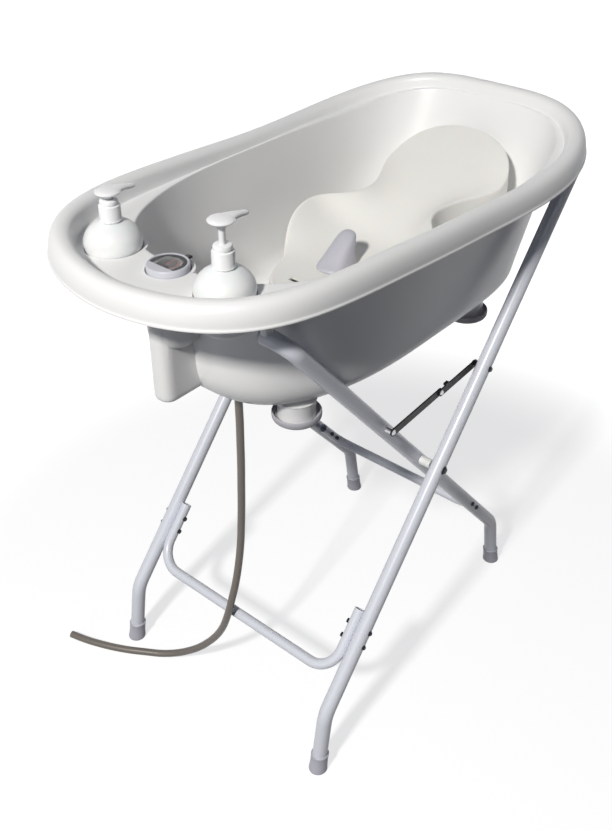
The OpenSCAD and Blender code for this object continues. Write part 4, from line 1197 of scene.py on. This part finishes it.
@dataclass
class Thermometer:
    """Round bath thermometer in the shelf: grey case, black bezel, dial, needle and window."""

    x: float = -352.0
    base_z: float = 864.3
    height: float = 22.5
    radius: float = 29.5
    front_lip: float = -13.0

    def build(self) -> None:
        """Builds the case, the bezel and the window, and dresses the rest."""
        z, h, r = self.base_z, self.height, self.radius
        where = upright(self.x, 0, 0)
        top = z + h
        case = turned("thermometer_cup", [
            (0, 0), (r - 3, 0), (r - 1.2, 1), (r - 0.2, 3.4), (r, 5), (r, h - 2.4), (r - 0.4, h - 1.2),
            (r - 1.2, h - 0.5), (r - 1.8, h - 0.2), (26.6, h - 0.2), (26.0, h - 0.5), (25.7, h - 1.2),
            (25.6, h - 5.0), (18.5, h - 5.1), (18.5, h - 8), (18.5, 2.6), (0, 2.6)], where, 96, z)
        # a straight lip covers the front of the round window
        lip = turned("lip", [(0, -0.95), (26.2, -0.95), (26.2, -0.2), (0, -0.2)], where, 96, top)
        front = self.x + self.front_lip
        carve(lip, block("side", (self.x - 30, -30, z), (front, 30, top + 5)), "INTERSECT")
        carve(case, lip, "UNION")
        smoothed(case, 32)
        finished(case, CASE_ABS, "thermometer", "case_plastic", "thermometer_case")
        bezel = turned("thermometer_bezel", [
            (18.8, -2.5), (25.5, -2.5), (25.5, -1.3), (24.8, -1.1), (22.6, -1.2), (20.6, -1.0), (20.5, -1.3),
            (19.4, -1.35), (18.8, -1.6), (18.8, -2.5)], where, 96, top)
        tab = block("tab", (self.x + 29.2, -5, z + 14.6), (self.x + 40.5, 5, z + 18.4), 1.4)
        bezel = smoothed(joined("thermometer_bezel", [bezel, tab]), 32)
        finished(bezel, BEZEL_ABS, "thermometer", "dial_plastic")
        lens = turned("thermometer_window", [
            (0, -1.3), (20.2, -1.3), (20.3, -1.0), (18.0, -0.7), (11, -0.3), (0, -0.1)], where, 72, top)
        carve(lens, block("under_lip", (self.x - 30, -30, z), (front + 0.1, 30, top + 5)), "DIFFERENCE")
        finished(lens, LENS_PC, "thermometer", "lens_plastic", "thermometer_lens")
        dial = DialPrint("aluminium_lacquered_dial", "#141316", "#8E1F1A", 0.3, ior=1.5, centre=(self.x, 0.0, 0.0))
        carried(dial, "thermometer_dial")
        carried(NEEDLE_PAINT, "thermometer_needle")


# ---------------------------------------------------------------- drain and hose


@dataclass
class Drain:
    """Drain fitting in the floor, its plug and the hose that hangs to the ground."""

    hose_r: float = 6.5
    bore_r: float = 4.6
    sides: int = 24
    top: float = 617.5
    route: tuple[Point, ...] = (
        (-236, 0, 617), (-236, 0, 604), (-236, 0, 590), (-236, 0, 560), (-237, 0, 520), (-238, 0, 480),
        (-240, 0, 440), (-242, 0, 400), (-245, 0, 360), (-249, 0, 320), (-256, 0, 280), (-265, 1, 240),
        (-274, 4, 205), (-279, 10, 172), (-281, 22, 135), (-283, 38, 103), (-287, 58, 74), (-293, 80, 49),
        (-301, 104, 29), (-311, 128, 15), (-324, 152, 8), (-339, 177, 7), (-355, 203, 7),
        (-370, 232, 7), (-382, 260, 7), (-392, 288, 7), (-400, 318, 7))

    def centre_line(self, steps: int = 6) -> list[Vector]:
        """The route as a smooth line.

        Args:
            steps: Points in each span.

        Returns:
            Points in millimetres.
        """
        pts = [Vector((x, y, z * self.top / self.route[0][2])) for x, y, z in self.route]
        line = []
        for i in range(len(pts) - 1):
            p0, p1, p2, p3 = pts[max(i - 1, 0)], pts[i], pts[i + 1], pts[min(i + 2, len(pts) - 1)]
            for j in range(steps):
                t = j / steps
                line.append(0.5 * ((2 * p1) + (p2 - p0) * t + (2 * p0 - 5 * p1 + 4 * p2 - p3) * t * t
                                   + (3 * p1 - p0 - 3 * p2 + p3) * t**3))
        return line + [pts[-1]]

    def hose(self) -> None:
        """The hose as one tube with its bore."""
        line = self.centre_line()
        rings, bores = [], []
        for i, p in enumerate(line):
            way = (line[min(i + 1, len(line) - 1)] - line[max(i - 1, 0)]).normalized()
            x = Vector((0, 1, 0)).cross(way).normalized()
            y = way.cross(x)
            for r, rows in ((self.hose_r, rings), (self.bore_r, bores)):
                rows.append([p + r * (math.cos(t) * x + math.sin(t) * y)
                             for t in (math.tau * k / self.sides for k in range(self.sides))])
        rows = rings + bores[::-1] + rings[:1]
        hose = lofted("drain_tube", rows, True)
        self.unwrap(hose, line)
        smoothed(hose, 60)
        finished(hose, HOSE_PVC, "tub", "hose_plastic", "drain_hose")

    def unwrap(self, hose: Piece, line: Sequence[Vector]) -> None:
        """Lays a UV map on the hose: U round it, V along it.

        Args:
            hose: The tube.
            line: Its centre line.
        """
        along_map = hose.data.uv_layers.new(name="along")
        step = len(line) - 1
        for loop in hose.data.loops:
            p = hose.data.vertices[loop.vertex_index].co / MM
            near_index = min(range(0, step + 1), key=lambda i: (line[i] - p).length_squared)
            out = p - line[near_index]
            along_map.data[loop.index].uv = (math.atan2(out.y, out.x + out.z * 0.3) / math.tau + 0.5,
                                             near_index / step)

    def build(self) -> None:
        """Builds the hose and dresses the fitting."""
        self.hose()
        carried(DRAIN_POM, "drain_body", "drain_nut", "drain_plug")
        carried(WASHER_RUBBER, "drain_washer")


# ---------------------------------------------------------------- stand


@dataclass
class Stand:
    """Two pairs of crossed legs, their spreaders, stays, caps and fasteners."""

    pivot: tuple[float, float] = (-12.0, 451.0)
    reach: float = 306.0
    bend_z: float = 115.0
    bend_in: float = 19.0
    tube_r: float = 12.5
    tube_wall: float = 1.5
    bend_r: float = 60.0
    outer_y: float = 226.0
    inner_y: float = 181.0
    spreader_r: float = 9.0
    # length and depth of the flat at the pivot in the outer legs, and of the longer one in the inner legs
    outer_flat: tuple[float, float] = (70.0, 1.2)
    inner_flat: tuple[float, float] = (86.0, 2.6)
    inner_flat_z: float = 486.0
    stub_r: float = 36.0
    # height of the cross run and of the lower bolts, radius of the corners
    front_spreader: Point = (161.0, 211.0, 45.0)
    rear_spreader: Point = (192.0, 214.0, 26.0)
    sides: int = 40

    @property
    def slope(self) -> float:
        """Rise of a leg over its run."""
        return (self.pivot[1] - self.bend_z) / (self.reach - self.bend_in)

    def leg_x(self, z: float, end: End) -> float:
        """Place along X of a leg's axis at a height."""
        return self.pivot[0] - end.value * (z - self.pivot[1]) / self.slope

    def up(self, end: End) -> Vector:
        """Direction of a leg above its bend."""
        return Vector((-end.value / self.slope, 0, 1)).normalized()

    def shank(self, end: End) -> Vector:
        """Direction of a leg below its bend."""
        return Vector((-end.value * self.bend_in, 0, self.bend_z)).normalized()

    def foot(self, end: End, y: float) -> Vector:
        """Where a leg's axis meets the ground."""
        return Vector((self.pivot[0] + end.value * self.reach, y, 0))

    def tube(self, name: str, start: Vector, way: Vector, radius: float,
             steps: Sequence[tuple[str, float, Vector, Vector]]) -> Piece:
        """Bends a tube as a maker does: a ring is drawn out straight, or spun about a bend's centre.

        Args:
            name: Name of the piece.
            start: Start of its axis in millimetres.
            way: Direction at the start.
            radius: Outside radius.
            steps: Each "draw" with a length, or "bend" with an angle, a centre and an axis.

        Returns:
            The tube, open at its ends.
        """
        deselect()
        bpy.ops.mesh.primitive_circle_add(vertices=self.sides, radius=radius * MM, fill_type="NOTHING",
                                          location=start * MM, rotation=way.to_track_quat("Z", "Y").to_euler())
        tube = named(name)
        bpy.ops.object.transform_apply(location=True, rotation=True, scale=True)
        with editing(tube):
            for kind, amount, first, second in steps:
                if kind == "draw":
                    cuts = max(1, round(amount / 12))
                    for _ in range(cuts):
                        bpy.ops.mesh.extrude_region_move(
                            TRANSFORM_OT_translate={"value": first * (amount * MM / cuts)})
                else:
                    # the spin operator turns against the axis by the right hand's rule
                    bpy.ops.mesh.spin(steps=max(4, round(abs(amount) / 6)), angle=-math.radians(amount),
                                      center=first * MM, axis=second)
        return tidy_mesh(tube)

    def walled(self, tube: Piece) -> Piece:
        """Gives a tube its wall."""
        work(tube, "SOLIDIFY", thickness=self.tube_wall * MM, offset=-1.0, use_rim=True)
        return smoothed(tube, 50)

    def shank_steps(self, end: End, y: float) -> tuple[Vector, list[tuple[str, float, Vector, Vector]], Vector]:
        """The lower end of a leg: shank and bend.

        Args:
            end: Where its foot stands.
            y: Its place across.

        Returns:
            Start of the axis, the first steps, and where the bend ends.
        """
        low, high = self.shank(end), self.up(end)
        turn = math.degrees(low.angle(high))
        trim = self.bend_r * math.tan(math.radians(turn / 2))
        start = self.foot(end, y) + low * (4 / low.z)
        corner = Vector((self.pivot[0] + end.value * (self.reach - self.bend_in), y, self.bend_z))
        begin = corner - low * trim
        inward = (high - low * high.dot(low)).normalized()
        centre = begin + inward * self.bend_r
        axis = low.cross(inward)
        steps = [("draw", (begin - start).length, low, low), ("bend", turn, centre, axis)]
        return start, steps, corner + high * trim

    def press(self, tube: Piece, at: Vector, way: Vector, out: Vector, length: float, depth: float) -> None:
        """Presses a shallow oval flat in one side of a tube, as a leg has where it is bolted.

        Args:
            tube: The tube.
            at: Middle of the flat, on the axis, in millimetres.
            way: Along the tube.
            out: Towards the pressed side.
            length: Length of the flat.
            depth: How deep it goes.
        """
        for v in tube.data.vertices:
            p = v.co / MM - at
            k, side = abs(p.dot(way)) / (length / 2), p.dot(out)
            if k < 1 and side > 0:
                flat = self.tube_r - depth * (math.cos(math.pi * k) * 0.5 + 0.5) ** 0.6
                if side > flat:
                    v.co -= out * (side - flat) * MM

    def outer_leg(self, side: Side) -> None:
        """A leg from the foot end's floor to the head end of the rim, with a flat at the pivot.

        Args:
            side: Which side.
        """
        y = side.value * self.outer_y
        start, steps, after = self.shank_steps(End.FOOT, y)
        tub = Tub()
        # the leg ends 6 mm under the rim's lower edge
        top_z = tub.rim_z((self.leg_x(tub.edge_z, End.FOOT) - self.pivot[0]) / (tub.length / 2)) - 6
        top = Vector((self.leg_x(top_z, End.FOOT), y, top_z))
        steps.append(("draw", (top - after).length, self.up(End.FOOT), Vector()))
        leg = self.tube(f"leg_outer_{side.tag}", start, self.shank(End.FOOT), self.tube_r, steps)
        middle = Vector((self.pivot[0], y, self.pivot[1]))
        self.press(leg, middle, self.up(End.FOOT), Vector((0, -side.value, 0)), *self.outer_flat)
        finished(self.walled(leg), LEG_PAINT, "outer_frame", "leg_paint", f"outer_leg_{side.tag}")

    def inner_leg(self, side: Side) -> None:
        """A leg from the head end's floor to the foot end, turned in at its top to carry the tub.

        Args:
            side: Which side.
        """
        y = side.value * self.inner_y
        start, steps, after = self.shank_steps(End.HEAD, y)
        up = self.up(End.HEAD)
        z0 = Tub.rest[2] - self.stub_r * up.z
        begin = Vector((self.leg_x(z0, End.HEAD), y, z0))
        steps.append(("draw", (begin - after).length, up, Vector()))
        inward = Vector((0, -side.value, 0))
        steps.append(("bend", 90, begin + inward * self.stub_r, up.cross(inward)))
        leg = self.tube(f"leg_inner_{side.tag}", start, self.shank(End.HEAD), self.tube_r, steps)
        middle = Vector((self.leg_x(self.inner_flat_z, End.HEAD), y, self.inner_flat_z))
        self.press(leg, middle, up, Vector((0, side.value, 0)), *self.inner_flat)
        finished(self.walled(leg), LEG_PAINT, "inner_frame", "leg_paint", f"inner_leg_{side.tag}")

    def spreader(self, end: End, leg_y: float, sizes: Point) -> None:
        """A U of thinner tube bolted inside a pair of legs.

        Args:
            end: Which pair.
            leg_y: The legs' place across.
            sizes: Height of its cross run and of its lower bolts, and radius of its corners.
        """
        z, bolt_z, bend_r = sizes
        y = leg_y - self.tube_r - self.spreader_r - 0.1
        up, across = self.up(end), Vector((0, 1, 0))
        # the arms end 51 mm further up the legs than the lower bolts
        top = bolt_z + 51 * up.z
        start = Vector((self.leg_x(top, end), -y, top))
        first = Vector((self.leg_x(z, end), -y, z)) + up * bend_r
        axis = (-up).cross(across)
        arm, run = (start - first).length, 2 * (y - bend_r)
        steps = [("draw", arm, -up, up), ("bend", 90, first + across * bend_r, axis), ("draw", run, across, up),
                 ("bend", 90, first + across * (bend_r + run), axis), ("draw", arm, up, up)]
        bar = self.walled(self.tube(f"spreader_{end.tag}", start, -up, self.spreader_r, steps))
        finished(bar, LEG_PAINT, f"{end.pair}_frame", "leg_paint", f"{end.tag}_spreader")

    def caps(self, end: End, leg_y: float) -> None:
        """Pushed-on caps at the feet: a flared tread, a plain sleeve and a bead at its mouth.

        Args:
            end: Which pair of legs.
            leg_y: The legs' place across.
        """
        outline = ((0, 4.05), (12.55, 4.05), (12.55, 34.4), (14.0, 34.4), (14.9, 33.6), (15.1, 32.4), (14.7, 31.2),
                   (14.6, 20), (14.9, 12), (15.5, 5), (15.8, 2.2), (15.3, 0.9), (14.0, 0.2), (0, 0.2))
        lean, parts = self.shank(end), []
        for side in Side:
            cap = turned("cap", outline, Matrix.Identity(4), 48)
            # the sleeve leans with the shank, the tread stays flat on the ground
            for v in cap.data.vertices:
                v.co.x += lean.x / lean.z * v.co.z
            parts.append(placed(cap, Matrix.Translation(self.foot(end, side.value * leg_y) * MM)))
        caps = smoothed(joined(f"caps_{end.tag}", parts))
        finished(caps, CAP_PE, f"{end.pair}_frame", "cap_plastic", f"{end.pair}_foot_caps")

    def build(self) -> None:
        """Builds tubes and caps, and dresses the small hardware."""
        for side in Side:
            self.outer_leg(side)
            self.inner_leg(side)
        self.spreader(End.FOOT, self.outer_y, self.front_spreader)
        self.spreader(End.HEAD, self.inner_y, self.rear_spreader)
        self.caps(End.FOOT, self.outer_y)
        self.caps(End.HEAD, self.inner_y)
        carried(CAP_PE, "rim_saddles", "inner_leg_plugs")
        carried(SPACER_PA, "pivot_spacers")
        carried(BOLT_ZINC, "pivot_bolts", "rear_spreader_bolts", "stay_bolts", "front_spreader_bolts")
        for side in Side:
            carried(STAY_PAINT, f"stay_upper_{side.tag}", f"stay_lower_{side.tag}")
            carried(RIVET_STEEL, f"knee_rivet_{side.tag}", f"stay_pin_{side.tag}")


def main() -> None:
    """Builds the scene in order: camera and hose, then tub, seat, bottles, thermometer and stand."""
    logging.basicConfig(level=logging.INFO, format="%(name)s: %(message)s")
    stage = Stage()
    stage.camera()
    Drain().build()
    Tub().build()
    Seat().build()
    PumpBottle(Side.NEAR, 22.0).build()
    PumpBottle(Side.FAR, 0.0).build()
    Thermometer().build()
    Stand().build()
    stage.light()
    stage.floor()


if __name__ == "__main__":
    main()
